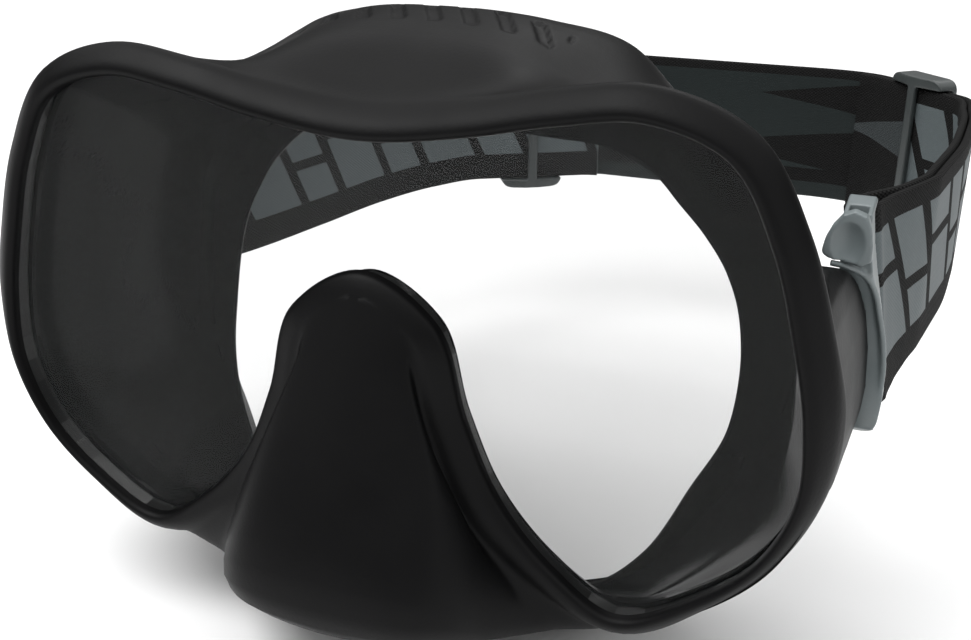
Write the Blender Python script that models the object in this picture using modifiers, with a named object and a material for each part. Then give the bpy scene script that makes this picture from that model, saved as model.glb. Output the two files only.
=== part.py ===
"""Diving mask: one moulded skirt round a single flat lens, swivel buckles and a webbing head strap.

X runs to the wearer's left, Y from the lens back to the face, Z up. The origin lies on the
symmetry plane, on the face side, level with the two buckle pivots.
"""

import math

import bmesh
import bpy
import numpy as np
from mathutils import Vector

MM = 0.001
GAP = 0.3
RUNNING = 0.08
SIDES = ((1, "left"), (-1, "right"))

# Lens and rim, in millimetres. Depth is measured backwards from the lens's front face.
LENS_Y = -50.0
LENS_THICK = 4.0
LENS_LAP = 1.2
FRAME_WIDTH = 1.2
RIM_PROUD = 2.5
WALL = 2.2
SEAL_EDGE = 1.1
REAR_LIP = 1.6

# Buckle pivots, on one axis along X, each inside a round boss on the skirt's side.
PIVOT_Y = -28.0
PIVOT_Z = -4.0
SLOT_X = (74.7, 78.7)
SLOT_FRONT_R = 6.1
LOBE_R = 18.6
LOBE_SPREAD = 0.06
LOBE_FRONT_Y = -44.0
LOBE_FRONT_HALF = 17.6
LOBE_PROFILE = (
    (60, -23), (77, -23), (79.2, -20.8), (80.8, -18.4), (81.6, -15.6), (81.7, -12), (81, -5),
    (80, 1.7), (78.4, 8.5), (77, 12), (74.4, 15), (60, 15),
)
BASE_R = 5.6
BASE_THICK = 0.8
EYE_R = 5.6
EYE_THICK = 1.5
PIN_R = 3.0
CLIP_THICK = 0.5
ARM_HALF = 6.5

# Buckle yoke and its strap bar, which leans inwards towards the top.
YOKE_ARC_R = 19.4
YOKE_REAR = 1.6
YOKE_TOP = 20.8
YOKE_PROFILE = (
    (79.6, -21.2), (82.4, -21.2), (84.5, -20.3), (85.7, -18), (86, -14.6), (85.4, -7.3), (83.6, 1.6),
    (81.9, 9), (80.9, 14), (80.2, 19), (80, 21.2), (75, 21.2), (75.6, 14), (76, 6), (76, -12),
    (78.2, -19),
)
LEAN = 0.148
LEAN_ENDS_Y = 28.0
BAR_X = 80.4
BAR_Y = -1.0
BAR_R = 1.5
WINDOW_FRONT = -6.2

# Release tab on the top of the yoke, leaning over the boss.
TAB_OUTLINE = (
    (76.5, 12.8), (79.4, 12.6), (80.9, 14), (80.6, 17), (80, 20), (79.2, 22), (77.2, 22.8),
    (75.6, 22), (74.2, 20), (73.3, 17.6), (73, 15), (74.2, 13.4),
)
TAB_THICK = 2.6
TAB_Y = -18.2
TAB_PIN_Y = -10.5
TAB_PIN_Z = 18.2
TAB_PIN_R = 1.0
TAB_POCKET_X = (75.9, 79.2)
TAB_KNUCKLE_X = (76.1, 77.3)
TAB_PIN_X = (75.2, 79.9)
SPRING_R = 1.65
SPRING_WIRE = 0.2
SPRING_TURNS = 2

# Webbing, in two layers between each buckle and its slider.
STRAP_WIDTH = 38.0
STRAP_THICK = 1.6
LAYER_STEP = 2.0
FOLD_R = 2.6
TAIL_PAST_SLIDER = 22.0

# Tri-glide sliders.
SLIDER_LENGTH = 19.0
SLIDER_RAIL = 2.6
SLIDER_BAR = 2.8
SLIDER_DEPTH = 1.5
SLIDER_SLACK = 0.35

COLUMNS = 104
SPANS = 2
CURVE_STEPS = 3

# One row for each station of the right half, from the middle of the brow round the lobe to the
# top of the nose notch. Each row holds the lens edge (x, z) and the rim's width, then the outer
# wall's guide points (x, depth, z): shoulder, middle, rear, fold and the seal's free edge.
STATIONS = [
    ((0, 35, 5.5), (0, 6, 42.4), (0, 18, 49), (0, 35, 52.2), (0, 42, 46), (0, 36, 30.6)),
    (
        (20, 37.4, 5.5), (20, 6, 44), (19.6, 18, 47.8),
        (19.2, 40, 50.1), (19.2, 47.6, 44.4), (19.5, 39, 28.8),
    ),
    ((34, 40.4, 5.5), (34, 6, 45), (33.4, 20, 42), (33, 46, 45.4), (32, 53.2, 40.4), (30, 45, 26.4)),
    (
        (48, 42, 5.5), (49, 6, 45.1), (47.8, 20, 39.2),
        (45.2, 48, 34), (43.4, 56, 29), (38.4, 48, 21.4),
    ),
    (
        (60.5, 37.6, 5.3), (62.8, 6, 39.8), (60.6, 19, 34.8),
        (56.2, 43, 27.2), (52.8, 55, 23.2), (44.2, 48, 15.8),
    ),
    (
        (68, 25, 5.6), (71.4, 6, 26.6), (68.6, 20, 24.8),
        (64.4, 40, 21.6), (60.6, 55.4, 18.2), (49.4, 50, 9.4),
    ),
    (
        (72.2, 11.4, 6), (77, 6, 12.2), (73.2, 20, 11.8),
        (70, 40, 10.2), (66.8, 56.4, 8), (54, 51.4, 1.8),
    ),
    ((75.3, -3, 5.8), (80.8, 6, -3), (74, 21, -3), (72, 41, -3.6), (70, 57, -4.6), (57.2, 52, -8)),
    (
        (75.6, -16.6, 4.2), (79.2, 6, -17.2), (74.2, 21, -17),
        (72, 41, -17.4), (69.8, 55, -18), (58.4, 50.6, -19.4),
    ),
    (
        (70.8, -28.6, 3.4), (72.6, 6, -30.1), (71.6, 20, -31.7),
        (69, 40, -33), (66.2, 53, -33), (57.2, 46.4, -30.4),
    ),
    (
        (60.6, -38.8, 3.8), (62.9, 6, -41.4), (62, 18, -44.8),
        (59.6, 38, -46.8), (57, 49, -47.4), (52, 40, -40.6),
    ),
    (
        (47, -45.6, 5.5), (47.4, 6, -52.6), (47.4, 15, -56.8),
        (46.4, 28, -60.6), (45, 40, -61.6), (44.4, 36, -55.2),
    ),
    (
        (35.4, -38.4, 5.5), (35.4, 1, -51.6), (35.2, 6, -56.6),
        (35, 20, -63.4), (34, 34, -65.2), (35, 31.6, -62.4),
    ),
    (
        (25.6, -27, 5.5), (27.2, -5, -41.4), (26.6, -7.6, -51.6),
        (24.6, 13, -61), (23.4, 31, -64.4), (24.2, 29, -58.8),
    ),
    (
        (19.4, -13, 5.5), (20.6, -9, -27), (21.8, -15.6, -47.8),
        (16.2, 11, -58.6), (14.8, 30, -62.6), (15.4, 29.6, -57),
    ),
    (
        (13.8, 4.4, 5.5), (12.8, -11, -18.4), (13.2, -20.6, -46.9),
        (8.2, 9, -57.8), (7.6, 30, -62.4), (7.8, 30, -56),
    ),
    ((0, 12.4, 5.5), (0, -11.6, -15.6), (0, -21.6, -47.2), (0, 8, -57.4), (0, 30, -62), (0, 30, -55.6)),
]
NOSE_FROM = 11
NOSE_FULL = 13.2

# The webbing's route seen from above, (x, depth behind the lens), from the left strap bar
# round the back of the head to the right one. The runs are dead straight.
ROUTE = [
    (83, 49),
    (84.2, 57),
    (87.4, 68),
    (90.2, 78),
    (93.6, 100),
    (95.6, 122),
    (96, 144),
    (93.2, 160.4),
    (74.4, 180),
    (54, 186),
    (-6, 186),
    (-15.4, 184.2),
    (-43.2, 167.6),
    (-53.6, 154),
    (-62, 133),
    (-67.6, 108),
    (-74.4, 80),
    (-81.6, 60),
    (-83, 49),
]
STRAIGHT_FROM = (3, 7, 9, 11)
LEFT_RUN = 7
RIGHT_RUN = 11

COLOURS = {
    "silicone": ((0.018, 0.018, 0.02), 0.48, 0.0),
    "glass": ((0.92, 0.94, 0.94), 0.03, 0.0),
    "black_plastic": ((0.02, 0.02, 0.022), 0.35, 0.0),
    "grey_plastic": ((0.20, 0.23, 0.24), 0.42, 0.0),
    "steel": ((0.6, 0.6, 0.6), 0.28, 1.0),
    "webbing": ((0.05, 0.055, 0.058), 0.85, 0.0),
}


def clear_scene():
    for item in list(bpy.data.objects):
        bpy.data.objects.remove(item, do_unlink=True)


def new_collection(name):
    group = bpy.data.collections.new(name)
    bpy.context.scene.collection.children.link(group)
    return group


def material(name):
    found = bpy.data.materials.get(name)
    if found:
        return found
    colour, roughness, metallic = COLOURS[name]
    made = bpy.data.materials.new(name)
    made.use_nodes = True
    shader = made.node_tree.nodes["Principled BSDF"]
    shader.inputs["Base Color"].default_value = (*colour, 1)
    shader.inputs["Roughness"].default_value = roughness
    shader.inputs["Metallic"].default_value = metallic
    made.diffuse_color = (*colour, 1)
    return made


def place(thing, finish, group, parent=None):
    """Gives an object its material, collection and parent."""
    thing.data.materials.clear()
    thing.data.materials.append(material(finish))
    for holder in list(thing.users_collection):
        holder.objects.unlink(thing)
    group.objects.link(thing)
    if parent:
        thing.parent = parent
        thing.matrix_parent_inverse = parent.matrix_world.inverted()
    return thing


def spline(knots, points, at, slopes=None):
    """A smooth curve through points at the given parameter values; knots hold theirs."""
    knots = np.asarray(knots, float)
    points = np.asarray(points, float)
    if slopes is None:
        slopes = np.gradient(points, knots, axis=0)
    at = np.clip(np.asarray(at, float), knots[0], knots[-1])
    low = np.clip(np.searchsorted(knots, at, side="right") - 1, 0, len(knots) - 2)
    step = (knots[low + 1] - knots[low])[:, None]
    t = (at - knots[low])[:, None] / step
    start = (2 * t**3 - 3 * t**2 + 1) * points[low]
    start += (t**3 - 2 * t**2 + t) * step * slopes[low]
    end = (3 * t**2 - 2 * t**3) * points[low + 1]
    end += (t**3 - t**2) * step * slopes[low + 1]
    return start + end


def chord_lengths(points):
    steps = np.linalg.norm(np.diff(points, axis=0), axis=1)
    return np.concatenate([[0], np.cumsum(steps)])


def smooth_step(low, high, value):
    t = np.clip((value - low) / (high - low), 0, 1)
    return t * t * (3 - 2 * t)


def station_loop():
    """Every station's numbers all the way round, with a few stations repeated at each end.

    The last number of a row is 0 at the rim and 1 at the nose pocket."""
    half = [np.concatenate([np.ravel(item) for item in row]) for row in STATIONS]
    flip = np.ones(len(half[0]))
    flip[::3] = -1
    left = [row * flip for row in half[-2:0:-1]]
    nose = np.clip((np.arange(len(half)) - NOSE_FROM) / (NOSE_FULL - NOSE_FROM), 0, 1)
    weight = np.concatenate([nose, nose[-2:0:-1]])
    rows = np.column_stack([np.array(half + left), weight])
    return np.vstack([rows[-3:], rows, rows[:4]])


def around(columns):
    """The station numbers at evenly spaced places along the lens's edge."""
    rows = station_loop()
    knots = chord_lengths(rows[:, :2])
    fine_at = np.linspace(knots[3], knots[-4], 2000)
    walked = chord_lengths(spline(knots, rows[:, :2], fine_at))
    wanted = np.linspace(0, walked[-1], columns, endpoint=False)
    return spline(knots, rows, np.interp(wanted, walked, fine_at))


def edge_and_normal(rows):
    """The lens edge and its outward direction, in the lens plane."""
    edge = rows[:, :2]
    along = np.roll(edge, -1, axis=0) - np.roll(edge, 1, axis=0)
    along /= np.linalg.norm(along, axis=1)[:, None]
    return edge, np.column_stack([-along[:, 1], along[:, 0]])


def section_point(rows, at_rim, at_nose=None):
    """One ring: (outward from the lens edge, depth), changing from the rim's to the nose's."""
    edge, normal = edge_and_normal(rows)
    at_nose = at_nose or at_rim
    nose = rows[:, -1]
    outward = at_rim[0] + (at_nose[0] - at_rim[0]) * nose
    depth = at_rim[1] + (at_nose[1] - at_rim[1]) * nose
    flat = edge + normal * outward[:, None]
    return np.column_stack([flat[:, 0], depth, flat[:, 1]])


def lip_point(rows, at_rim, at_nose):
    """As section_point, with the outward distance given as a share of the rim's width there."""
    edge, normal = edge_and_normal(rows)
    nose = rows[:, -1]
    outward = rows[:, 2] * (at_rim[0] + (at_nose[0] - at_rim[0]) * nose)
    depth = at_rim[1] + (at_nose[1] - at_rim[1]) * nose
    flat = edge + normal * outward[:, None]
    return np.column_stack([flat[:, 0], depth, flat[:, 1]])


def lip_rings(rows):
    """The front of the rim, from the glass over the rounded lip."""
    return [
        lip_point(rows, (0, -GAP), (0, -GAP)),
        lip_point(rows, (0.04, -1.8), (0.05, -1.9)),
        lip_point(rows, (0.24, -RIM_PROUD), (0.3, -3.0)),
        lip_point(rows, (0.6, -1.3), (0.65, -3.9)),
        lip_point(rows, (1.0, 1.8), (1.1, -4.9)),
    ]


def wall_rings(rows, lip, spans):
    """The outer wall, from the lip to the seal's free edge."""
    guides = [rows[:, 3 + 3 * i : 6 + 3 * i] for i in range(5)]
    stack = np.array([lip[-2], lip[-1], *guides])
    steps = np.arange(1, (len(stack) - 2) * spans + 1) / spans + 1
    flat = stack.reshape(len(stack), -1)
    return spline(np.arange(len(stack)), flat, steps).reshape(len(steps), -1, 3)


def facings(sheet):
    """Outward directions of a sheet of rings."""
    down = np.gradient(sheet, axis=0)
    side = np.roll(sheet, -1, axis=1) - np.roll(sheet, 1, axis=1)
    normal = np.cross(side, down)
    return normal / np.linalg.norm(normal, axis=2)[:, :, None]


def root_rings(rows):
    """The inner side behind the lens: the rear lip, then the groove that holds lens and frame."""
    back = LENS_THICK + GAP
    lip = back + REAR_LIP
    bottom = LENS_LAP + GAP + FRAME_WIDTH + GAP
    return [
        lip_point(rows, (0.3, lip + 2.1), (1.24, -1.8)),
        lip_point(rows, (0.36, lip + 0.7), (1.07, 1.6)),
        lip_point(rows, (0.28, lip + 0.1), (0.98, 4.4)),
        section_point(rows, (0.3, lip - 0.3), (3.4, 5.9)),
        section_point(rows, (0.2, back), (1.4, back)),
        section_point(rows, (bottom, back)),
        section_point(rows, (bottom, -GAP)),
    ]


def skirt_rings(columns, spans):
    """Rings of the skirt's closed section: outside, then inside, then the lens groove."""
    rows = around(columns)
    lip = lip_rings(rows)
    wall = wall_rings(rows, lip, spans)
    facing = facings(np.array([*lip[-2:], *wall]))[2:]
    share = np.arange(len(wall)) / (len(wall) - 1)
    thick = WALL + (SEAL_EDGE - WALL) * smooth_step(0.62, 1.0, share)
    inner = wall - facing * thick[:, None, None]
    return [*lip, *wall, *inner[: spans - 1 : -1], *root_rings(rows)]


def finish_mesh(name, body):
    """Turns a bmesh into an object with smooth, outward faces."""
    bmesh.ops.recalc_face_normals(body, faces=body.faces)
    data = bpy.data.meshes.new(name)
    body.to_mesh(data)
    body.free()
    data.shade_smooth()
    made = bpy.data.objects.new(name, data)
    bpy.context.scene.collection.objects.link(made)
    return made


def loft(name, rings):
    """A closed body through rings of points that themselves close round the section."""
    body = bmesh.new()
    table = []
    for ring in rings:
        table.append([body.verts.new((x * MM, (y + LENS_Y) * MM, z * MM)) for x, y, z in ring])
    for ring, after in zip(table, table[1:] + table[:1]):
        for j, here in enumerate(ring):
            k = (j + 1) % len(ring)
            body.faces.new((here, after[j], after[k], ring[k]))
    return finish_mesh(name, body)


def plate(name, outlines, thick, axis, centre):
    """A flat plate through closed outlines in millimetres; a second outline is a hole.

    axis is the way it faces: outlines are (x, z) for Y, (y, z) for X and (x, y) for Z."""
    data = bpy.data.curves.new(name, "CURVE")
    data.dimensions = "2D"
    data.fill_mode = "BOTH"
    data.extrude = thick / 2 * MM
    for outline in outlines:
        line = data.splines.new("POLY")
        line.points.add(len(outline) - 1)
        for point, (a, b) in zip(line.points, outline):
            point.co = (a * MM, b * MM, 0, 1)
        line.use_cyclic_u = True
    shape = bpy.data.objects.new(name, data)
    bpy.context.scene.collection.objects.link(shape)
    turns = {"Z": (0, 0, 0), "Y": (math.pi / 2, 0, 0), "X": (math.pi / 2, 0, math.pi / 2)}
    shape.rotation_euler = turns[axis]
    shape.location = Vector(centre) * MM
    return to_mesh(shape)


def to_mesh(shape):
    """Turns a curve object into a mesh object in the same place, with its caps welded."""
    bpy.context.view_layer.update()
    seen = bpy.context.evaluated_depsgraph_get()
    data = bpy.data.meshes.new_from_object(shape.evaluated_get(seen))
    body = bmesh.new()
    body.from_mesh(data)
    bmesh.ops.remove_doubles(body, verts=body.verts, dist=0.000001)
    bmesh.ops.recalc_face_normals(body, faces=body.faces)
    body.to_mesh(data)
    body.free()
    name = shape.name
    where = shape.matrix_world.copy()
    bpy.data.objects.remove(shape, do_unlink=True)
    made = bpy.data.objects.new(name, data)
    made.matrix_world = where
    bpy.context.scene.collection.objects.link(made)
    return made


def rod(name, radius, span, at, axis="X", sides=24):
    """A round bar along an axis; span is its two ends, at its place on the other two axes."""
    bpy.ops.mesh.primitive_cylinder_add(
        vertices=sides, radius=radius * MM, depth=abs(span[1] - span[0]) * MM
    )
    made = bpy.context.object
    made.name = name
    turns = {"X": (0, math.pi / 2, 0), "Z": (0, 0, 0)}
    made.rotation_euler = turns[axis]
    middle = (span[0] + span[1]) / 2
    centre = (middle, *at) if axis == "X" else (*at, middle)
    made.location = Vector(centre) * MM
    made.data.shade_smooth()
    made.data.set_sharp_from_angle(angle=math.radians(40))
    return made


def block(name, low, high):
    """A box between two corners in millimetres."""
    bpy.ops.mesh.primitive_cube_add(size=1)
    made = bpy.context.object
    made.name = name
    made.scale = [abs(b - a) * MM for a, b in zip(low, high)]
    made.location = [(a + b) / 2 * MM for a, b in zip(low, high)]
    bpy.context.view_layer.update()
    bpy.ops.object.transform_apply(location=False, rotation=False, scale=True)
    return made


def span_x(side, inner, outer):
    """The two x values of a stretch on one side, given for the wearer's left."""
    return tuple(sorted((side * inner, side * outer)))


def side_block(name, side, x, y, z):
    low_x, high_x = span_x(side, *x)
    return block(name, (low_x, y[0], z[0]), (high_x, y[1], z[1]))


def add_boolean(body, tool, kind, guides):
    """Joins tool to body, or cuts body with it; the tool stays as a hidden guide."""
    for holder in list(tool.users_collection):
        holder.objects.unlink(tool)
    guides.objects.link(tool)
    tool.hide_render = True
    tool.display_type = "WIRE"
    step = body.modifiers.new(tool.name, "BOOLEAN")
    step.operation = kind
    step.solver = "EXACT"
    step.object = tool


def soften(body, width, segments=2):
    """Rounds the sharp edges."""
    edge = body.modifiers.new("round_edges", "BEVEL")
    edge.width = width * MM
    edge.segments = segments
    edge.limit_method = "ANGLE"
    edge.angle_limit = math.radians(40)


def arc(centre, radius, start, stop, count):
    """Points on an arc, angles in degrees from the first axis."""
    angles = np.radians(np.linspace(start, stop, count))
    return [(centre[0] + radius * math.cos(a), centre[1] + radius * math.sin(a)) for a in angles]


def circle(radius, count):
    return arc((0, 0), radius, 0, 360 - 360 / count, count)


def hub(name, group, centre, turn=0.0):
    """An empty on a joint's axis, which the moving pieces are parented to."""
    made = bpy.data.objects.new(name, None)
    made.empty_display_size = 10 * MM
    made.location = Vector(centre) * MM
    made.rotation_euler.z = turn
    group.objects.link(made)
    bpy.context.view_layer.update()
    return made


def wall_middle(rows):
    """The middle of the skirt's wall, ring by ring, with one ring past each end."""
    lip = lip_rings(rows)
    wall = wall_rings(rows, lip, SPANS)
    middle = wall - facings(np.array([*lip[-2:], *wall]))[2:] * WALL / 2
    reach = np.array([0, 5, 0])
    return [middle[0] - reach, *middle[:6], middle[5] + reach]


def lobe_trim(side, name):
    """Everything inside the middle of the wall, which a boss must not reach into."""
    rows = around(COLUMNS)
    near = np.flatnonzero((rows[:, 0] * side > 50) & (np.abs(rows[:, 1]) < 34))
    body = bmesh.new()
    table = []
    for ring in wall_middle(rows):
        patch = ring[near]
        tube = np.vstack([patch, patch[::-1] - (side * 30, 0, 0)])
        table.append([body.verts.new((x * MM, (y + LENS_Y) * MM, z * MM)) for x, y, z in tube])
    for ring, after in zip(table, table[1:]):
        for j, here in enumerate(ring):
            k = (j + 1) % len(ring)
            body.faces.new((here, after[j], after[k], ring[k]))
    body.faces.new(table[0])
    body.faces.new(table[-1])
    return finish_mesh(f"{name}_lobe_trim", body)


def make_lobe(side, name, guides):
    """The boss on one side of the skirt: round behind the pivot and square in front of it."""
    lobe = rod(f"{name}_lobe", LOBE_R, span_x(side, 60, 90), (PIVOT_Y, PIVOT_Z), sides=48)
    outline = [(side * x, z) for x, z in LOBE_PROFILE]
    height = (PIVOT_Z - LOBE_FRONT_HALF, PIVOT_Z + LOBE_FRONT_HALF)
    front = side_block(f"{name}_lobe_front", side, (60, 90), (LOBE_FRONT_Y, PIVOT_Y), height)
    profile = plate(f"{name}_lobe_profile", [outline], 60, "Y", (0, PIVOT_Y, 0))
    profile.rotation_euler.z = -side * math.atan(LOBE_SPREAD)
    add_boolean(lobe, front, "UNION", guides)
    add_boolean(lobe, profile, "INTERSECT", guides)
    add_boolean(lobe, lobe_trim(side, name), "DIFFERENCE", guides)
    return lobe


def slot_outline():
    """The boss's slot from the side: round in front of the eye, wider behind it for the arm."""
    upper = [(PIVOT_Y + 4.2, PIVOT_Z + 9.9), (PIVOT_Y + 16.4, PIVOT_Z + 15.5), (-6, PIVOT_Z + 18)]
    lower = [(y, 2 * PIVOT_Z - z) for y, z in upper]
    front = arc((PIVOT_Y, PIVOT_Z), SLOT_FRONT_R, 115, 245, 9)
    return [*upper[::-1], *front, *lower]


def make_skirt(group, guides):
    skirt = loft("skirt", skirt_rings(COLUMNS, SPANS))
    width = SLOT_X[1] - SLOT_X[0]
    middle = (SLOT_X[1] + SLOT_X[0]) / 2
    for side, name in SIDES:
        add_boolean(skirt, make_lobe(side, name, guides), "UNION", guides)
        slot = plate(f"{name}_slot", [slot_outline()], width, "X", (side * middle, 0, 0))
        add_boolean(skirt, slot, "DIFFERENCE", guides)
    place(skirt, "silicone", group)


def make_lens(group):
    """The flat glass, and the stiff ring round its edge that the skirt is moulded over."""
    rows = around(COLUMNS)
    edge, normal = edge_and_normal(rows)
    middle = (0, LENS_Y + LENS_THICK / 2, 0)
    lens = plate("lens", [edge + normal * LENS_LAP], LENS_THICK, "Y", middle)
    place(lens, "glass", group)
    inner = LENS_LAP + GAP
    ring = [edge + normal * (inner + FRAME_WIDTH), edge + normal * inner]
    frame = plate("lens_frame", ring, LENS_THICK, "Y", middle)
    place(frame, "black_plastic", group)


def make_pivot(side, name, group):
    """The hard base, the pin and its clip: all fixed to the skirt, inside the boss."""
    base_x = SLOT_X[0] + GAP
    eye_x = base_x + BASE_THICK + GAP
    clip_x = eye_x + EYE_THICK + GAP
    axis = (PIVOT_Y, PIVOT_Z)
    base = rod(f"{name}_pivot_base", BASE_R, span_x(side, base_x, base_x + BASE_THICK), axis)
    place(base, "black_plastic", group)
    pin = rod(f"{name}_pivot_pin", PIN_R, span_x(side, eye_x, clip_x + CLIP_THICK), axis)
    place(pin, "steel", group)
    rings = [circle(PIN_R + 2.2, 24), circle(PIN_R + GAP, 24)]
    centre = (side * (clip_x + CLIP_THICK / 2), PIVOT_Y, PIVOT_Z)
    place(plate(f"{name}_pivot_clip", rings, CLIP_THICK, "X", centre), "steel", group)


def yoke_outline():
    """The yoke from the side: hollowed round the boss, with round rear corners."""
    points = arc((PIVOT_Y, PIVOT_Z), YOKE_ARC_R, 50, -50, 15)
    points += [(-14.4, 1.2 - YOKE_TOP), (-12.6, -YOKE_TOP)]
    corner = 2.6
    points += arc((YOKE_REAR - corner, corner - YOKE_TOP), corner, -90, 0, 4)
    points += arc((YOKE_REAR - corner, YOKE_TOP - corner), corner, 0, 90, 4)
    return [*points, (-12.6, YOKE_TOP)]


def arm_outline():
    """The buckle's eye and arm from the side."""
    top = PIVOT_Z + ARM_HALF
    bottom = PIVOT_Z - ARM_HALF
    outline = arc((PIVOT_Y, PIVOT_Z), EYE_R, 90, 270, 13)
    outline += [(PIVOT_Y + 8, bottom), (WINDOW_FRONT - 1, bottom)]
    return [*outline, (WINDOW_FRONT - 1, top), (PIVOT_Y + 8, top)]


def make_buckle(side, name, group, guides):
    """The swivelling buckle: an eye and arm in the boss's slot, the yoke, and its strap bar."""
    eye_x = SLOT_X[0] + GAP + BASE_THICK + GAP
    axis = hub(f"{name}_swivel", group, (side * eye_x, PIVOT_Y, PIVOT_Z))
    buckle = plate(f"{name}_buckle", [yoke_outline()], 30, "X", (side * 80, 0, 0))
    outline = [(side * x, z) for x, z in YOKE_PROFILE]
    profile = plate(f"{name}_yoke_profile", [outline], 60, "Y", (0, 0, 0))
    arm_x = side * (eye_x + EYE_THICK / 2)
    arm = plate(f"{name}_arm", [arm_outline()], EYE_THICK, "X", (arm_x, 0, 0))
    half = STRAP_WIDTH / 2 + GAP
    window = side_block(f"{name}_window", side, (60, 100), (WINDOW_FRONT, 9), (-half, half))
    pocket_y = (-30, TAB_PIN_Y + 3.3)
    pocket = side_block(f"{name}_pocket", side, TAB_POCKET_X, pocket_y, (TAB_PIN_Z - 2.8, 40))
    bore = rod(f"{name}_bore", PIN_R + RUNNING, span_x(side, 70, 90), (PIVOT_Y, PIVOT_Z))
    pin_at = (TAB_PIN_Y, TAB_PIN_Z)
    pin_bore = rod(f"{name}_pin_bore", TAB_PIN_R + RUNNING, span_x(side, 70, 95), pin_at, sides=16)
    add_boolean(buckle, profile, "INTERSECT", guides)
    add_boolean(buckle, arm, "UNION", guides)
    for cutter in (window, pocket, bore, make_bar(side, f"{name}_bar_bore", RUNNING, 60), pin_bore):
        add_boolean(buckle, cutter, "DIFFERENCE", guides)
    place(buckle, "grey_plastic", group, axis)
    place(make_bar(side, f"{name}_strap_bar", 0, YOKE_TOP - 0.8), "steel", group, axis)
    return axis


def make_bar(side, name, extra, half):
    """The leaning bar the webbing folds round, or with extra radius the bore for it."""
    bar = rod(name, BAR_R + extra, (-half, half), (side * BAR_X, BAR_Y), "Z", 16)
    bar.rotation_euler.y = -side * math.atan(LEAN)
    return bar


def make_tab(side, name, group, guides, axis):
    """The sprung release tab, its hinge pin and the spring coiled round the pin."""
    pin_at = (TAB_PIN_Y, TAB_PIN_Z)
    lift = hub(f"{name}_tab_axis", group, (side * TAB_KNUCKLE_X[0], *pin_at))
    lift.parent = axis
    lift.matrix_parent_inverse = axis.matrix_world.inverted()
    bpy.context.view_layer.update()
    outline = [(side * x, z) for x, z in TAB_OUTLINE]
    tab = plate(f"{name}_release_tab", [outline], TAB_THICK, "Y", (0, TAB_Y, 0))
    soften(tab, 0.5)
    reach = (TAB_Y, TAB_PIN_Y)
    height = (TAB_PIN_Z - 1.6, TAB_PIN_Z + 1.6)
    knuckle = side_block(f"{name}_knuckle", side, TAB_KNUCKLE_X, reach, height)
    ring = rod(f"{name}_knuckle_end", 2.0, span_x(side, *TAB_KNUCKLE_X), pin_at)
    bore = rod(f"{name}_tab_bore", TAB_PIN_R + RUNNING, span_x(side, 70, 95), pin_at, sides=16)
    add_boolean(tab, knuckle, "UNION", guides)
    add_boolean(tab, ring, "UNION", guides)
    add_boolean(tab, bore, "DIFFERENCE", guides)
    place(tab, "grey_plastic", group, lift)
    pin = rod(f"{name}_tab_pin", TAB_PIN_R, span_x(side, *TAB_PIN_X), pin_at, sides=16)
    place(pin, "steel", group, axis)
    place(make_spring(side, name), "steel", group, axis)


def make_spring(side, name):
    """A torsion spring: a few close turns of wire round the tab's pin."""
    first = TAB_KNUCKLE_X[1] + GAP + SPRING_WIRE
    last = TAB_POCKET_X[1] - GAP - SPRING_WIRE
    count = SPRING_TURNS * 10 + 1
    data = bpy.data.curves.new(f"{name}_tab_spring", "CURVE")
    data.dimensions = "3D"
    data.bevel_depth = SPRING_WIRE * MM
    data.bevel_resolution = 1
    data.use_fill_caps = True
    line = data.splines.new("POLY")
    line.points.add(count - 1)
    for i, point in enumerate(line.points):
        share = i / (count - 1)
        turn = 2 * math.pi * SPRING_TURNS * share
        x = side * (first + (last - first) * share)
        y = TAB_PIN_Y + SPRING_R * math.cos(turn)
        z = TAB_PIN_Z + SPRING_R * math.sin(turn)
        point.co = (x * MM, y * MM, z * MM, 1)
    shape = bpy.data.objects.new(f"{name}_tab_spring", data)
    bpy.context.scene.collection.objects.link(shape)
    return to_mesh(shape)


def outer_layer():
    """The webbing's outer middle line seen from above, from the left bar to the right bar."""
    points = np.array([(x, depth + LENS_Y) for x, depth in ROUTE])
    knots = chord_lengths(points)
    slopes = np.gradient(points, knots, axis=0)
    slopes[0] = (0, 1)
    slopes[-1] = (0, -1)
    for i in STRAIGHT_FROM:
        slopes[i] = slopes[i + 1] = (points[i + 1] - points[i]) / (knots[i + 1] - knots[i])
    at = []
    for i in range(len(points) - 1):
        steps = 1 if i in STRAIGHT_FROM else CURVE_STEPS
        at += list(np.linspace(knots[i], knots[i + 1], steps, endpoint=False))
    return spline(knots, points, [*at, knots[-1]], slopes)


def inward(line):
    """Directions towards the inside of the loop, at right angles to the line."""
    along = np.gradient(line, axis=0)
    along /= np.linalg.norm(along, axis=1)[:, None]
    return np.column_stack([-along[:, 1], along[:, 0]])


def inner_layer(line, length):
    """The layer that comes back inside the first part of line, from its bar to the tail."""
    walked = chord_lengths(line)
    step = LAYER_STEP + (2 * FOLD_R - LAYER_STEP) * (1 - smooth_step(2, 18, walked))
    shifted = line + inward(line) * step[:, None]
    keep = walked < length - 0.5
    end = [np.interp(length, walked, shifted[:, i]) for i in range(2)]
    return np.vstack([shifted[keep], [end]])


def slider_place(run):
    """The middle of a straight run and its direction, seen from above."""
    start, stop = (np.array([x, depth + LENS_Y]) for x, depth in ROUTE[run : run + 2])
    return (start + stop) / 2, (stop - start) / np.linalg.norm(stop - start)


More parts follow.
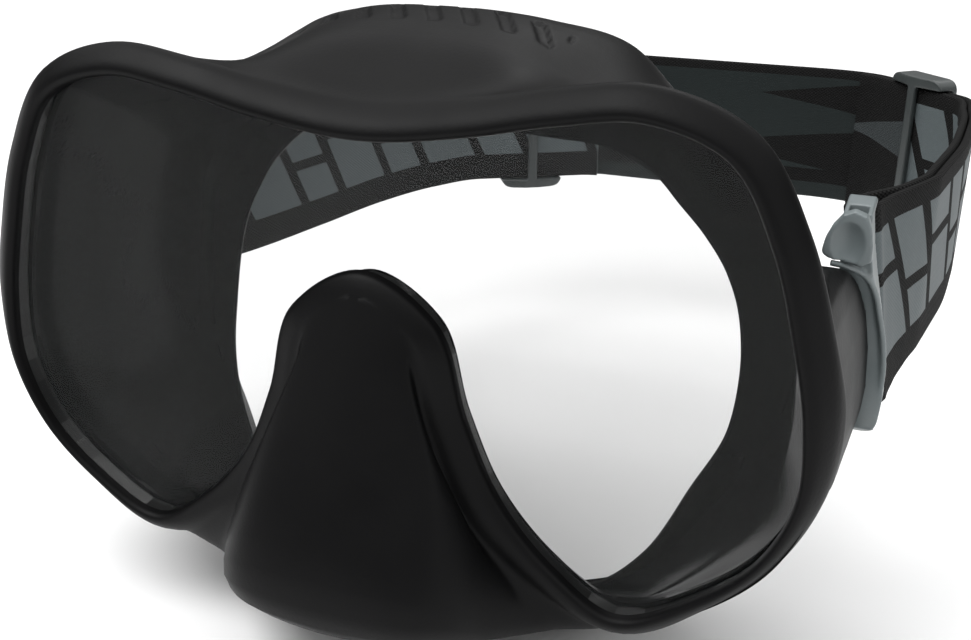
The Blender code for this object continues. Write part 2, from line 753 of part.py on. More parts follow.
def make_strap(group, axis):
    """One length of webbing: tail, fold, outer layer round the head, fold, tail."""
    line = outer_layer()
    walked = chord_lengths(line)
    reach = []
    for run in (LEFT_RUN, RIGHT_RUN):
        centre, along = slider_place(run)
        nearest = np.argmin(np.linalg.norm(line - centre, axis=1))
        reach.append(walked[nearest] + np.dot(centre - line[nearest], along))
    left = inner_layer(line, reach[0] + TAIL_PAST_SLIDER)
    mirrored = line[::-1] * (-1, 1)
    right = inner_layer(mirrored, walked[-1] - reach[1] + TAIL_PAST_SLIDER) * (-1, 1)
    left_fold = arc((BAR_X, BAR_Y), FOLD_R, 180, 360, 9)[1:-1]
    right_fold = arc((-BAR_X, BAR_Y), FOLD_R, 180, 360, 9)[1:-1]
    path = np.vstack([left[::-1], left_fold, line, right_fold, right])
    across = inward(path) * STRAP_THICK / 2
    outline = np.vstack([path + across, (path - across)[::-1]])
    strap = plate("head_strap", [outline], STRAP_WIDTH, "Z", (0, 0, 0))
    for vertex in strap.data.vertices:
        share = 1 - smooth_step(BAR_Y, LEAN_ENDS_Y, vertex.co.y / MM)
        vertex.co.x -= np.sign(vertex.co.x) * LEAN * share * vertex.co.z
    place(strap, "webbing", group, axis)


def slider_outline():
    """A tri-glide from one end of its bars: a rail's section, seen along z."""
    half = SLIDER_LENGTH / 2
    low = -STRAP_THICK / 2 - SLIDER_SLACK - SLIDER_DEPTH
    high = LAYER_STEP + STRAP_THICK / 2 + SLIDER_SLACK + SLIDER_DEPTH
    inner = SLIDER_BAR / 2 + 0.8
    return [(-half, low), (half, low), (half, high - SLIDER_DEPTH), (inner, high), (-inner, high),
            (-half, high - SLIDER_DEPTH)]


def make_slider(name, run, group, guides, axis):
    """A tri-glide: two bars and rails outside the webbing, one bar inside it.

    It is built lying along x with the loop's inside towards +y, then turned into place."""
    centre, along = slider_place(run)
    frame = hub(f"{name}_slider_axis", group, (*centre, 0), math.atan2(along[1], along[0]))
    height = STRAP_WIDTH + 2 * (GAP + SLIDER_RAIL)
    slider = plate(f"{name}_slider", [slider_outline()], height, "Z", (0, 0, 0))
    outside = -STRAP_THICK / 2 - SLIDER_SLACK
    inside = LAYER_STEP + STRAP_THICK / 2 + SLIDER_SLACK
    far = SLIDER_LENGTH
    half = SLIDER_LENGTH / 2 - SLIDER_BAR
    wide = STRAP_WIDTH / 2 + GAP
    window = block(f"{name}_window", (-half, -far, -wide), (half, inside, wide))
    tunnel = block(f"{name}_tunnel", (-far, outside, -wide), (far, inside, wide))
    back = SLIDER_BAR / 2
    gaps = [
        block(f"{name}_near_gap", (-far, outside + 1, -wide), (-back, far, wide)),
        block(f"{name}_far_gap", (back, outside + 1, -wide), (far, far, wide)),
    ]
    for cutter in (window, tunnel, *gaps):
        cutter.parent = frame
        add_boolean(slider, cutter, "DIFFERENCE", guides)
    place(slider, "grey_plastic", group)
    slider.parent = frame
    frame.parent = axis
    frame.matrix_parent_inverse = axis.matrix_world.inverted()


def main():
    clear_scene()
    parts = new_collection("diving_mask")
    guides = new_collection("guides")
    make_skirt(parts, guides)
    make_lens(parts)
    axes = {}
    for side, name in SIDES:
        make_pivot(side, name, parts)
        axes[name] = make_buckle(side, name, parts, guides)
        make_tab(side, name, parts, guides, axes[name])
    make_strap(parts, axes["left"])
    make_slider("left", LEFT_RUN, parts, guides, axes["left"])
    make_slider("right", RIGHT_RUN, parts, guides, axes["left"])


main()
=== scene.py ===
"""The looks of the diving mask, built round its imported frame.

Lengths are in millimetres until a mesh is made; depth is measured backwards from the lens's front.
"""

import math

import bmesh
import bpy
import numpy as np
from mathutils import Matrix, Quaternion, Vector


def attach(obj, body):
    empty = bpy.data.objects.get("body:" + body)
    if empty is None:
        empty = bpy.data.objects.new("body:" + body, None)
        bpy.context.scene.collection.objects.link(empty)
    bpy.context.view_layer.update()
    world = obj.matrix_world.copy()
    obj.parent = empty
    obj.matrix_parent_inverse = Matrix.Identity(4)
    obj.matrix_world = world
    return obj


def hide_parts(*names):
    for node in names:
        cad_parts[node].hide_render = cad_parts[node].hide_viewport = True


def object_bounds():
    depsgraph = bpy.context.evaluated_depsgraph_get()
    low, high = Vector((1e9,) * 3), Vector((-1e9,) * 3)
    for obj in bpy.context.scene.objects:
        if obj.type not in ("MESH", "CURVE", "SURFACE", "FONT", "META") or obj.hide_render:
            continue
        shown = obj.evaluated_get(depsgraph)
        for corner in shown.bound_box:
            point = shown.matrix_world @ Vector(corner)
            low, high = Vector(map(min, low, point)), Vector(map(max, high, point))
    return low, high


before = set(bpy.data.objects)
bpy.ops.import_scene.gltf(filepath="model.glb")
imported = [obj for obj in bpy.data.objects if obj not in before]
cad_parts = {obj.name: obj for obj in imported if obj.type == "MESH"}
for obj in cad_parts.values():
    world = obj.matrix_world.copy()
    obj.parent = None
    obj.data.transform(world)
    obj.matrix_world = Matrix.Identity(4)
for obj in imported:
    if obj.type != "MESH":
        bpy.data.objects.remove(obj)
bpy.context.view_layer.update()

MM = 0.001
GAP = 0.3
SIDES = ((1, "left"), (-1, "right"))

# The lens, its groove and the wall of the skirt.
LENS_Y = -50.0
LENS_THICK = 4.0
LENS_LAP = 1.2
FRAME_WIDTH = 1.2
RIM_PROUD = 2.5
WALL = 2.2
SEAL_EDGE = 1.1
REAR_LIP = 1.2
COLUMNS = 360
LIP_STEPS = 4
WALL_STEPS = 6
WALL_GUIDES = 5
EDGE_SAMPLES = 4000
THINS_FROM = 0.62
SEAL_ROUNDING = 0.4
SHARP_RUBBER = 50

# The generic moulded marks: slanted dashes on the brow.
MARK_DEPTH = 0.6
MARK_BLUR = 0.3
MARK_CUTS = 3
MARK_FACING = 0.5
LEAST_MARK = 0.001
BROW_DEPTH = 31.0
BROW_PITCH = 7.0
BROW_DASH = 1.3
BROW_LENGTH = 5.5
BROW_HALF = 26.0
BROW_SLANT = 0.5
BROW_TAPER = 0.35
BROW_LOWEST = 40
BROW_BOX = ((-32, -32, 38), (32, -8, 60))

# The bosses that hold the buckles' pivots.
PIVOT_Y = -28.0
PIVOT_Z = -4.0
SLOT_X = (74.7, 78.7)
SLOT_FRONT_R = 6.1
SLOT_FRONT_ANGLES = (115, 245)
SLOT_UPPER = ((PIVOT_Y + 4.2, PIVOT_Z + 9.9), (PIVOT_Y + 16.4, PIVOT_Z + 15.5), (-6, PIVOT_Z + 18))
LOBE_R = 18.6
LOBE_SPREAD = 0.06
LOBE_X = (66, 90)
LOBE_SIDES = 96
LOBE_SMOOTHING = 3
LOBE_FRONT_Y = -44.0
LOBE_FRONT_HALF = 17.6
LOBE_PROFILE = (
    (60, -23), (77, -23), (79.2, -20.8), (80.8, -18.4), (81.6, -15.6), (81.7, -12), (81, -5),
    (80, 1.7), (78.4, 8.5), (77, 12), (74.4, 15), (60, 15),
)
LOBE_VOXEL = 0.6
TRIM_FROM_X = 50
TRIM_HALF_Z = 34
TRIM_PAST_ENDS = 5
TRIM_INWARD = 30
PROFILE_LENGTH = 60

# The buckles.
BASE_THICK = 0.8
EYE_R = 5.6
EYE_THICK = 1.5
PIN_R = 3.0
ARM_HALF = 6.5
YOKE_ARC_R = 19.4
YOKE_REAR = 1.6
YOKE_TOP = 20.8
YOKE_X = 80
YOKE_THICK = 30
YOKE_ARC_HALF_ANGLE = 50
YOKE_FRONT_Y = -12.6
YOKE_CHIN = (-14.4, 1.2)
YOKE_CORNER = 2.6
YOKE_SMOOTHING = 3
YOKE_PROFILE = (
    (79.6, -21.2), (82.4, -21.2), (84.5, -20.3), (85.7, -18), (86, -14.6), (85.4, -7.3),
    (83.6, 1.6), (81.9, 9), (80.9, 14), (80.2, 19), (80, 21.2), (75, 21.2), (75.6, 14), (76, 6),
    (76, -12), (78.2, -19),
)
LEAN = 0.148
LEAN_ENDS_Y = 28.0
BAR_X = 80.4
BAR_Y = -1.0
WINDOW_FRONT = -6.2
WINDOW_REAR = 9
ARM_FROM = 8
PIVOT_BORE_X = (70, 90)
RUNNING = 0.08
TAB_OUTLINE = (
    (76.5, 13.8), (79.6, 13.4), (81.2, 14.4), (81.1, 17), (80.6, 20), (79.6, 22.2), (77.4, 23),
    (75.6, 22.2), (74, 20), (73, 17.6), (72.6, 15.2), (73.8, 14.2),
)
SCOOP_CENTRE = (76.9, -20.9, 17.2)
SCOOP_SIZE = (3.3, 2.6, 4.6)
TAB_THICK = 2.6
TAB_Y = -18.2
TAB_SMOOTHING = 5
TAB_PIN_Y = -10.5
TAB_PIN_Z = 18.2
TAB_PIN_R = 1.0
TAB_BORE_X = (70, 95)
TAB_POCKET_X = (75.9, 79.2)
TAB_POCKET_BEHIND = 3.3
TAB_POCKET_BELOW = 2.8
TAB_KNUCKLE_X = (76.1, 77.3)
TAB_KNUCKLE_HALF = 1.6
TAB_KNUCKLE_R = 2.0
LIP_R = 0.6
LIP_ROUTE = (
    (74.4, -19.2, 13.4), (76.4, -18.2, 12.9), (78.6, -16.6, 11.9), (80.6, -14.6, 10),
    (82, -12.4, 7), (83.4, -9.8, 1.4), (84.8, -8.9, -5), (85.4, -9.8, -11.6), (84.6, -12, -16.6),
    (82, -14.2, -19.4),
)
LIP_POINTS = 50
PLASTIC_VOXEL = 0.3

# The webbing and its sliders.
STRAP_WIDTH = 38.0
STRAP_THICK = 1.6
LAYER_STEP = 2.0
FOLD_R = 2.6
FOLD_OPENS = (2, 18)
FOLD_POINTS = 17
WEBBING_ROWS = 15
WEBBING_EDGE = 0.5
SHARP_WEBBING = 60
TAIL_PAST_SLIDER = 22.0
SLIDER_LENGTH = 19.0
SLIDER_RAIL = 2.6
SLIDER_BAR = 2.8
SLIDER_DEPTH = 1.5
SLIDER_SLACK = 0.35
SLIDER_CORNER = 3.0
SLIDER_BAR_FLARE = 0.8
SLIDER_GAP_WALL = 1
SLIDER_SMOOTHING = 6
CURVE_STEPS = 12

# The weave and the print, in metres along the webbing from the left bar and up from its middle.
# Joints are (middle, half width) as shares of a panel, with the height last for level ones.
RIB_PITCH = 0.0011
THREAD_PITCH = 0.0008
WEAVE_HEIGHT = 0.00012
PANEL_PITCH = 0.036
PANEL_SLANT = 0.5
UPRIGHT_JOINTS = ((0.05, 0.05), (0.62, 0.045))
LEVEL_JOINTS = ((0.3375, 0.24, 0.0055), (0.83, 0.17, -0.0005))
LEVEL_JOINT_HALF = 0.0013
PRINT_UP = (-0.0112, 0.0148)
PRINT_FROM = -0.126
PRINT_INK = (0.1, 0.118, 0.123)
WEDGE_TIP = -0.152
WEDGE_SLOPE = 0.22
WEDGE_UP = 0.004
WEDGE_SHARE = 0.35
PANEL_UP = (-0.0105, 0.0165)
PANEL_EDGE = -0.0145
PANEL_EDGE_SHARE = 0.9
SPEARS = ((0.011, 0.186, 0.15), (-0.005, 0.204, 0.14))
PLAIN_INK = (0.016, 0.021, 0.021)

# The studio, in metres: lights are (name, place, size, power).
LIGHTS = (
    ("key", (-0.3, -0.35, 0.8), (0.6, 0.5), 6),
    ("fill", (0.8, -0.35, 0.25), (0.4, 0.6), 0.7),
    ("back", (0.1, 0.7, 0.7), (0.5, 0.15), 0.8),
)
AMBIENT = 0.12
OVERHEAD_POWER = 3.0
OVERHEAD_ANGLE = 120
FLOOR_Z = -0.0676
FLOOR_GAP = 0.0005
FLOOR_SIZE = 12
CAMERA_PLACE = (0.088, -0.2247, 0.083)
CAMERA_LOOK = (-0.3255, 0.8661, -0.3796)
CAMERA_ROLL = -0.51
SENSOR_WIDTH = 36
FOCAL_LENGTH = 44.76
NEAREST = 0.01

# One row for each station of the right half, from the middle of the brow round the lobe to the
# top of the nose notch. Each row holds the lens edge (x, z) and the rim's width, then the outer
# wall's guide points (x, depth, z): shoulder, middle, rear, fold and the seal's free edge.
STATIONS = [
    ((0, 35, 5.5), (0, 6, 42.4), (0, 18, 49), (0, 35, 52.2), (0, 42, 46), (0, 36, 30.6)),
    (
        (20, 37.4, 5.5), (20, 6, 44), (19.6, 18, 47.8),
        (19.2, 40, 50.1), (19.2, 47.6, 44.4), (19.5, 39, 28.8),
    ),
    (
        (34, 40.4, 5.5), (34, 6, 45), (33.4, 20, 42),
        (33, 46, 45.4), (32, 53.2, 40.4), (30, 45, 26.4),
    ),
    (
        (48, 42, 5.5), (49, 6, 45.1), (47.8, 20, 39.2),
        (45.2, 48, 34), (43.4, 56, 29), (38.4, 48, 21.4),
    ),
    (
        (60.5, 37.6, 5.3), (62.8, 6, 39.8), (60.6, 19, 34.8),
        (56.2, 43, 27.2), (52.8, 55, 23.2), (44.2, 48, 15.8),
    ),
    (
        (68, 25, 5.6), (71.4, 6, 26.6), (68.6, 20, 24.8),
        (64.4, 40, 21.6), (60.6, 55.4, 18.2), (49.4, 50, 9.4),
    ),
    (
        (72.2, 11.4, 6), (77, 6, 12.2), (73.2, 20, 11.8),
        (70, 40, 10.2), (66.8, 56.4, 8), (54, 51.4, 1.8),
    ),
    ((75.3, -3, 5.8), (80.8, 6, -3), (74, 21, -3), (72, 41, -3.6), (70, 57, -4.6), (57.2, 52, -8)),
    (
        (75.6, -16.6, 4.2), (79.2, 6, -17.2), (74.2, 21, -17),
        (72, 41, -17.4), (69.8, 55, -18), (58.4, 50.6, -19.4),
    ),
    (
        (70.8, -28.6, 3.4), (72.6, 6, -30.1), (71.6, 20, -31.7),
        (69, 40, -33), (66.2, 53, -33), (57.2, 46.4, -30.4),
    ),
    (
        (60.6, -38.8, 3.8), (62.9, 6, -41.4), (62, 18, -44.8),
        (59.6, 38, -46.8), (57, 49, -47.4), (52, 40, -40.6),
    ),
    (
        (47, -45.6, 5.5), (47.4, 6, -52.6), (47.4, 15, -56.8),
        (46.4, 28, -60.6), (45, 40, -61.6), (44.4, 36, -55.2),
    ),
    (
        (35.4, -38.4, 5.5), (35.4, 1, -51.6), (35.2, 6, -56.6),
        (35, 20, -63.4), (34, 34, -65.2), (35, 31.6, -62.4),
    ),
    (
        (25.6, -27, 5.5), (27.2, -5, -41.4), (26.6, -7.6, -51.6),
        (24.6, 13, -61), (23.4, 31, -64.4), (24.2, 29, -58.8),
    ),
    (
        (19.4, -13, 5.5), (20.6, -9, -27), (21.8, -15.6, -47.8),
        (16.2, 11, -58.6), (14.8, 30, -62.6), (15.4, 29.6, -57),
    ),
    (
        (13.8, 4.4, 5.5), (12.8, -11, -18.4), (13.2, -20.6, -46.9),
        (8.2, 9, -57.8), (7.6, 30, -62.4), (7.8, 30, -56),
    ),
    (
        (0, 12.4, 5.5), (0, -11.6, -15.6), (0, -21.6, -47.2),
        (0, 8, -57.4), (0, 30, -62), (0, 30, -55.6),
    ),
]
NOSE_FROM = 11
NOSE_FULL = 13.2
NOSE_BLUR = 14
NOSE_EASING = 30
NOSE_EASE_STEPS = (0.6, -0.62)
NOSE_EASE_FROM = (2.4, 4.2)
NOSE_EASE_TO = (7.6, 8.8)
NOSE_EASE_FULL = 0.6

# The webbing's route seen from above, (x, depth behind the lens), from the left strap bar
# round the back of the head to the right one. The runs are dead straight.
ROUTE = [
    (83, 49),
    (84.2, 57),
    (87.4, 68),
    (90.2, 78),
    (93.6, 100),
    (95.6, 122),
    (96, 144),
    (93.2, 160.4),
    (74.4, 180),
    (54, 186),
    (-6, 186),
    (-15.4, 184.2),
    (-43.2, 167.6),
    (-53.6, 154),
    (-62, 133),
    (-67.6, 108),
    (-74.4, 80),
    (-81.6, 60),
    (-83, 49),
]
STRAIGHT_FROM = (3, 7, 9, 11)
LEFT_RUN = 7
RIGHT_RUN = 11


def spline(knots, points, at, slopes=None):
    """A smooth curve through points at the given parameter values; knots hold theirs."""
    knots = np.asarray(knots, float)
    points = np.asarray(points, float)
    if slopes is None:
        slopes = np.gradient(points, knots, axis=0)
    at = np.clip(np.asarray(at, float), knots[0], knots[-1])
    low = np.clip(np.searchsorted(knots, at, side="right") - 1, 0, len(knots) - 2)
    step = (knots[low + 1] - knots[low])[:, None]
    t = (at - knots[low])[:, None] / step
    start = (2 * t**3 - 3 * t**2 + 1) * points[low]
    start += (t**3 - 2 * t**2 + t) * step * slopes[low]
    end = (3 * t**2 - 2 * t**3) * points[low + 1]
    end += (t**3 - t**2) * step * slopes[low + 1]
    return start + end


def chord_lengths(points):
    """How far along its chords each point lies."""
    steps = np.linalg.norm(np.diff(points, axis=0), axis=1)
    return np.concatenate([[0], np.cumsum(steps)])


def smooth_step(low, high, value):
    """0 below low, 1 above high and smooth between."""
    t = np.clip((value - low) / (high - low), 0, 1)
    return t * t * (3 - 2 * t)


def station_loop():
    """Every station's numbers all the way round, with a few stations repeated at each end.

    The last number of a row is 0 at the rim and 1 at the nose pocket."""
    half = [np.concatenate([np.ravel(item) for item in row]) for row in STATIONS]
    flip = np.ones(len(half[0]))
    flip[::3] = -1
    left = [row * flip for row in half[-2:0:-1]]
    nose = np.clip((np.arange(len(half)) - NOSE_FROM) / (NOSE_FULL - NOSE_FROM), 0, 1)
    weight = np.concatenate([nose, nose[-2:0:-1]])
    rows = np.column_stack([np.array(half + left), weight])
    return np.vstack([rows[-3:], rows, rows[:4]])


def around(columns):
    """The station numbers at evenly spaced places along the lens's edge."""
    rows = station_loop()
    knots = chord_lengths(rows[:, :2])
    fine_at = np.linspace(knots[3], knots[-4], EDGE_SAMPLES)
    walked = chord_lengths(spline(knots, rows[:, :2], fine_at))
    wanted = np.linspace(0, walked[-1], columns, endpoint=False)
    return spline(knots, rows, np.interp(wanted, walked, fine_at))


def edge_and_normal(rows):
    """The lens edge and its outward direction, in the lens plane."""
    edge = rows[:, :2]
    along = np.roll(edge, -1, axis=0) - np.roll(edge, 1, axis=0)
    along /= np.linalg.norm(along, axis=1)[:, None]
    return edge, np.column_stack([-along[:, 1], along[:, 0]])


def section_point(rows, at_rim, at_nose=None):
    """One ring: (outward from the lens edge, depth), changing from the rim's to the nose's."""
    edge, normal = edge_and_normal(rows)
    at_nose = at_nose or at_rim
    nose = rows[:, -1]
    outward = at_rim[0] + (at_nose[0] - at_rim[0]) * nose
    depth = at_rim[1] + (at_nose[1] - at_rim[1]) * nose
    flat = edge + normal * outward[:, None]
    return np.column_stack([flat[:, 0], depth, flat[:, 1]])


def lip_point(rows, at_rim, at_nose):
    """As section_point, with the outward distance given as a share of the rim's width there."""
    edge, normal = edge_and_normal(rows)
    nose = rows[:, -1]
    outward = rows[:, 2] * (at_rim[0] + (at_nose[0] - at_rim[0]) * nose)
    depth = at_rim[1] + (at_nose[1] - at_rim[1]) * nose
    flat = edge + normal * outward[:, None]
    return np.column_stack([flat[:, 0], depth, flat[:, 1]])


def lip_rings(rows):
    """The front of the rim, from the glass over the rounded lip."""
    return [
        lip_point(rows, (0, -GAP), (0, -GAP)),
        lip_point(rows, (0.04, -1.8), (0.05, -1.9)),
        lip_point(rows, (0.24, -RIM_PROUD), (0.3, -3.0)),
        lip_point(rows, (0.6, -1.3), (0.65, -3.9)),
        lip_point(rows, (1.0, 1.8), (1.1, -4.9)),
    ]


def facings(sheet):
    """Outward directions of a sheet of rings."""
    down = np.gradient(sheet, axis=0)
    side = np.roll(sheet, -1, axis=1) - np.roll(sheet, 1, axis=1)
    normal = np.cross(side, down)
    return normal / np.linalg.norm(normal, axis=2)[:, :, None]


def root_rings(rows):
    """The inner side behind the lens: the rear lip, then the groove that holds lens and frame."""
    back = LENS_THICK + GAP
    lip = back + REAR_LIP
    bottom = LENS_LAP + GAP + FRAME_WIDTH + GAP
    return [
        lip_point(rows, (0.34, lip + 2.1), (1.24, -1.8)),
        lip_point(rows, (0.38, lip + 0.7), (1.07, 1.6)),
        lip_point(rows, (0.32, lip + 0.1), (0.98, 4.4)),
        section_point(rows, (0.8, lip - 0.3), (3.4, 5.9)),
        section_point(rows, (0.7, back), (1.4, back)),
        section_point(rows, (bottom, back)),
        section_point(rows, (bottom, -GAP)),
    ]


def outside_sheet(rows):
    """The skirt's outer surface as rings, from the glass over the lip to the seal's edge."""
    lip = lip_rings(rows)
    guides = [rows[:, 3 + 3 * i : 6 + 3 * i] for i in range(WALL_GUIDES)]
    stack = np.array([*lip, *guides])
    over_lip = np.arange(0, (len(lip) - 1) * LIP_STEPS) / LIP_STEPS
    down_wall = len(lip) - 1 + np.arange(0, WALL_GUIDES * WALL_STEPS + 1) / WALL_STEPS
    at = np.concatenate([over_lip, down_wall])
    flat = stack.reshape(len(stack), -1)
    sheet = spline(np.arange(len(stack)), flat, at).reshape(len(at), -1, 3)
    return ease_nose(sheet, rows, at)


def ease_nose(sheet, rows, at):
    """Takes the creases out of the nose pocket without shrinking it, by a step each way."""
    reach = np.arange(-NOSE_BLUR, NOSE_BLUR + 1)
    near = sum(np.roll(rows[:, -1], step) for step in reach) / len(reach)
    over = smooth_step(*NOSE_EASE_FROM, at) * (1 - smooth_step(*NOSE_EASE_TO, at))
    amount = (over[:, None] * smooth_step(0, NOSE_EASE_FULL, near)[None, :])[:, :, None]
    for step in NOSE_EASE_STEPS * NOSE_EASING:
        beside = (np.roll(sheet, 1, axis=1) + np.roll(sheet, -1, axis=1)) / 2
        above = sheet.copy()
        above[1:-1] = (sheet[:-2] + sheet[2:]) / 2
        sheet = sheet + step * amount * ((beside + above) / 2 - sheet)
    return sheet


def skirt_rings(rows):
    """Rings of the skirt's closed section: outside, the seal's round edge, inside, the groove."""
    sheet = outside_sheet(rows)
    first = (len(lip_rings(rows)) - 1) * LIP_STEPS
    wall = sheet[first:]
    facing = facings(sheet)[first:]
    share = np.arange(len(wall)) / (len(wall) - 1)
    thick = WALL + (SEAL_EDGE - WALL) * smooth_step(THINS_FROM, 1.0, share)
    inner = wall - facing * thick[:, None, None]
    onward = wall[-1] - wall[-2]
    onward /= np.linalg.norm(onward, axis=1)[:, None]
    tip = (wall[-1] + inner[-1]) / 2 + onward * SEAL_EDGE * SEAL_ROUNDING
    return [*sheet, tip, *inner[: WALL_STEPS * 2 - 1 : -1], *root_rings(rows)]


def finish_mesh(name, body):
    """Turns a bmesh into an object with smooth, outward faces."""
    bmesh.ops.recalc_face_normals(body, faces=body.faces)
    data = bpy.data.meshes.new(name)
    body.to_mesh(data)
    body.free()
    data.shade_smooth()
    made = bpy.data.objects.new(name, data)
    bpy.context.scene.collection.objects.link(made)
    return made


def loft(name, rings, outside):
    """A closed body through rings of points that themselves close round the section.

    Faces past the first outside rings take the second material."""
    body = bmesh.new()
    table = []
    for ring in rings:
        table.append([body.verts.new((x * MM, (y + LENS_Y) * MM, z * MM)) for x, y, z in ring])
    for i, (ring, after) in enumerate(zip(table, table[1:] + table[:1])):
        for j, here in enumerate(ring):
            k = (j + 1) % len(ring)
            face = body.faces.new((here, after[j], after[k], ring[k]))
            face.material_index = int(i >= outside)
    return finish_mesh(name, body)


def plate(name, outlines, thick, axis, centre):
    """A flat plate through closed outlines in millimetres; a second outline is a hole.

    axis is the way it faces: outlines are (x, z) for Y, (y, z) for X and (x, y) for Z."""
    data = bpy.data.curves.new(name, "CURVE")
    data.dimensions = "2D"
    data.fill_mode = "BOTH"
    data.extrude = thick / 2 * MM
    for outline in outlines:
        line = data.splines.new("POLY")
        line.points.add(len(outline) - 1)
        for point, (a, b) in zip(line.points, outline):
            point.co = (a * MM, b * MM, 0, 1)
        line.use_cyclic_u = True
    shape = bpy.data.objects.new(name, data)
    bpy.context.scene.collection.objects.link(shape)
    turns = {"Z": (0, 0, 0), "Y": (math.pi / 2, 0, 0), "X": (math.pi / 2, 0, math.pi / 2)}
    shape.rotation_euler = turns[axis]
    shape.location = Vector(centre) * MM
    return to_mesh(shape)


def to_mesh(shape):
    """Turns a curve object into a mesh object in the same place, with its caps welded."""
    bpy.context.view_layer.update()
    seen = bpy.context.evaluated_depsgraph_get()
    data = bpy.data.meshes.new_from_object(shape.evaluated_get(seen))
    body = bmesh.new()
    body.from_mesh(data)
    bmesh.ops.remove_doubles(body, verts=body.verts, dist=0.000001)
    bmesh.ops.recalc_face_normals(body, faces=body.faces)
    body.to_mesh(data)
    body.free()
    name = shape.name
    where = shape.matrix_world.copy()
    bpy.data.objects.remove(shape, do_unlink=True)
    made = bpy.data.objects.new(name, data)
    made.matrix_world = where
    bpy.context.scene.collection.objects.link(made)
    return made


def rod(name, radius, span, at, axis="X", sides=24):
    """A round bar along an axis; span is its two ends, at its place on the other two axes."""
    bpy.ops.mesh.primitive_cylinder_add(
        vertices=sides, radius=radius * MM, depth=abs(span[1] - span[0]) * MM
    )
    made = bpy.context.object
    made.name = name
    turns = {"X": (0, math.pi / 2, 0), "Z": (0, 0, 0)}
    made.rotation_euler = turns[axis]
    middle = (span[0] + span[1]) / 2
    centre = (middle, *at) if axis == "X" else (*at, middle)
    made.location = Vector(centre) * MM
    return made


def block(name, low, high):
    """A box between two corners in millimetres."""
    bpy.ops.mesh.primitive_cube_add(size=1)
    made = bpy.context.object
    made.name = name
    made.scale = [abs(b - a) * MM for a, b in zip(low, high)]
    made.location = [(a + b) / 2 * MM for a, b in zip(low, high)]
    return made


def span_x(side, inner, outer):
    """The two x values of a stretch on one side, given for the wearer's left."""
    return tuple(sorted((side * inner, side * outer)))


def side_block(name, side, x, y, z):
    """A box on one side, with its x values given for the wearer's left."""
    low_x, high_x = span_x(side, *x)
    return block(name, (low_x, y[0], z[0]), (high_x, y[1], z[1]))


def boolean(body, tool, kind):
    """Joins tool to body, or cuts body with it, and throws the tool away."""
    bpy.context.view_layer.update()
    step = body.modifiers.new("shape", "BOOLEAN")
    step.operation = kind
    step.solver = "EXACT"
    step.object = tool
    apply_modifiers(body)
    bpy.data.objects.remove(tool, do_unlink=True)


def apply_modifiers(body):
    """Makes a body's mesh what its modifiers and its place give, and removes the modifiers."""
    bpy.context.view_layer.update()
    seen = bpy.context.evaluated_depsgraph_get()
    data = bpy.data.meshes.new_from_object(body.evaluated_get(seen))
    data.transform(body.matrix_world)
    body.modifiers.clear()
    body.data = data
    body.matrix_world.identity()
    body.location = (0, 0, 0)
    body.rotation_euler = (0, 0, 0)
    body.scale = (1, 1, 1)
    bpy.context.view_layer.update()


def round_off(body, voxel, smoothing):
    """Rebuilds a solid from small even faces and rounds its edges a little, as moulding does."""
    grid = body.modifiers.new("grid", "REMESH")
    grid.mode = "VOXEL"
    grid.voxel_size = voxel * MM
    ease = body.modifiers.new("ease", "SMOOTH")
    ease.factor = 0.5
    ease.iterations = smoothing
    apply_modifiers(body)
    body.data.shade_smooth()


def arc(centre, radius, start, stop, count):
    """Points on an arc, angles in degrees from the first axis."""
    angles = np.radians(np.linspace(start, stop, count))
    return [(centre[0] + radius * math.cos(a), centre[1] + radius * math.sin(a)) for a in angles]


def make_lobe(side, name):
    """The boss on one side of the skirt: round behind the pivot and square in front of it."""
    span = span_x(side, *LOBE_X)
    lobe = rod(f"{name}_lobe", LOBE_R, span, (PIVOT_Y, PIVOT_Z), sides=LOBE_SIDES)
    outline = [(side * x, z) for x, z in LOBE_PROFILE]
    height = (PIVOT_Z - LOBE_FRONT_HALF, PIVOT_Z + LOBE_FRONT_HALF)
    front = side_block(f"{name}_lobe_front", side, LOBE_X, (LOBE_FRONT_Y, PIVOT_Y), height)
    profile = plate(f"{name}_lobe_profile", [outline], PROFILE_LENGTH, "Y", (0, PIVOT_Y, 0))
    profile.rotation_euler.z = -side * math.atan(LOBE_SPREAD)
    boolean(lobe, front, "UNION")
    boolean(lobe, profile, "INTERSECT")
    round_off(lobe, LOBE_VOXEL, LOBE_SMOOTHING)
    return lobe


def slot_outline():
    """The boss's slot from the side: round in front of the eye, wider behind it for the arm."""
    lower = [(y, 2 * PIVOT_Z - z) for y, z in SLOT_UPPER]
    front = arc((PIVOT_Y, PIVOT_Z), SLOT_FRONT_R, *SLOT_FRONT_ANGLES, 25)
    return [*SLOT_UPPER[::-1], *front, *lower]


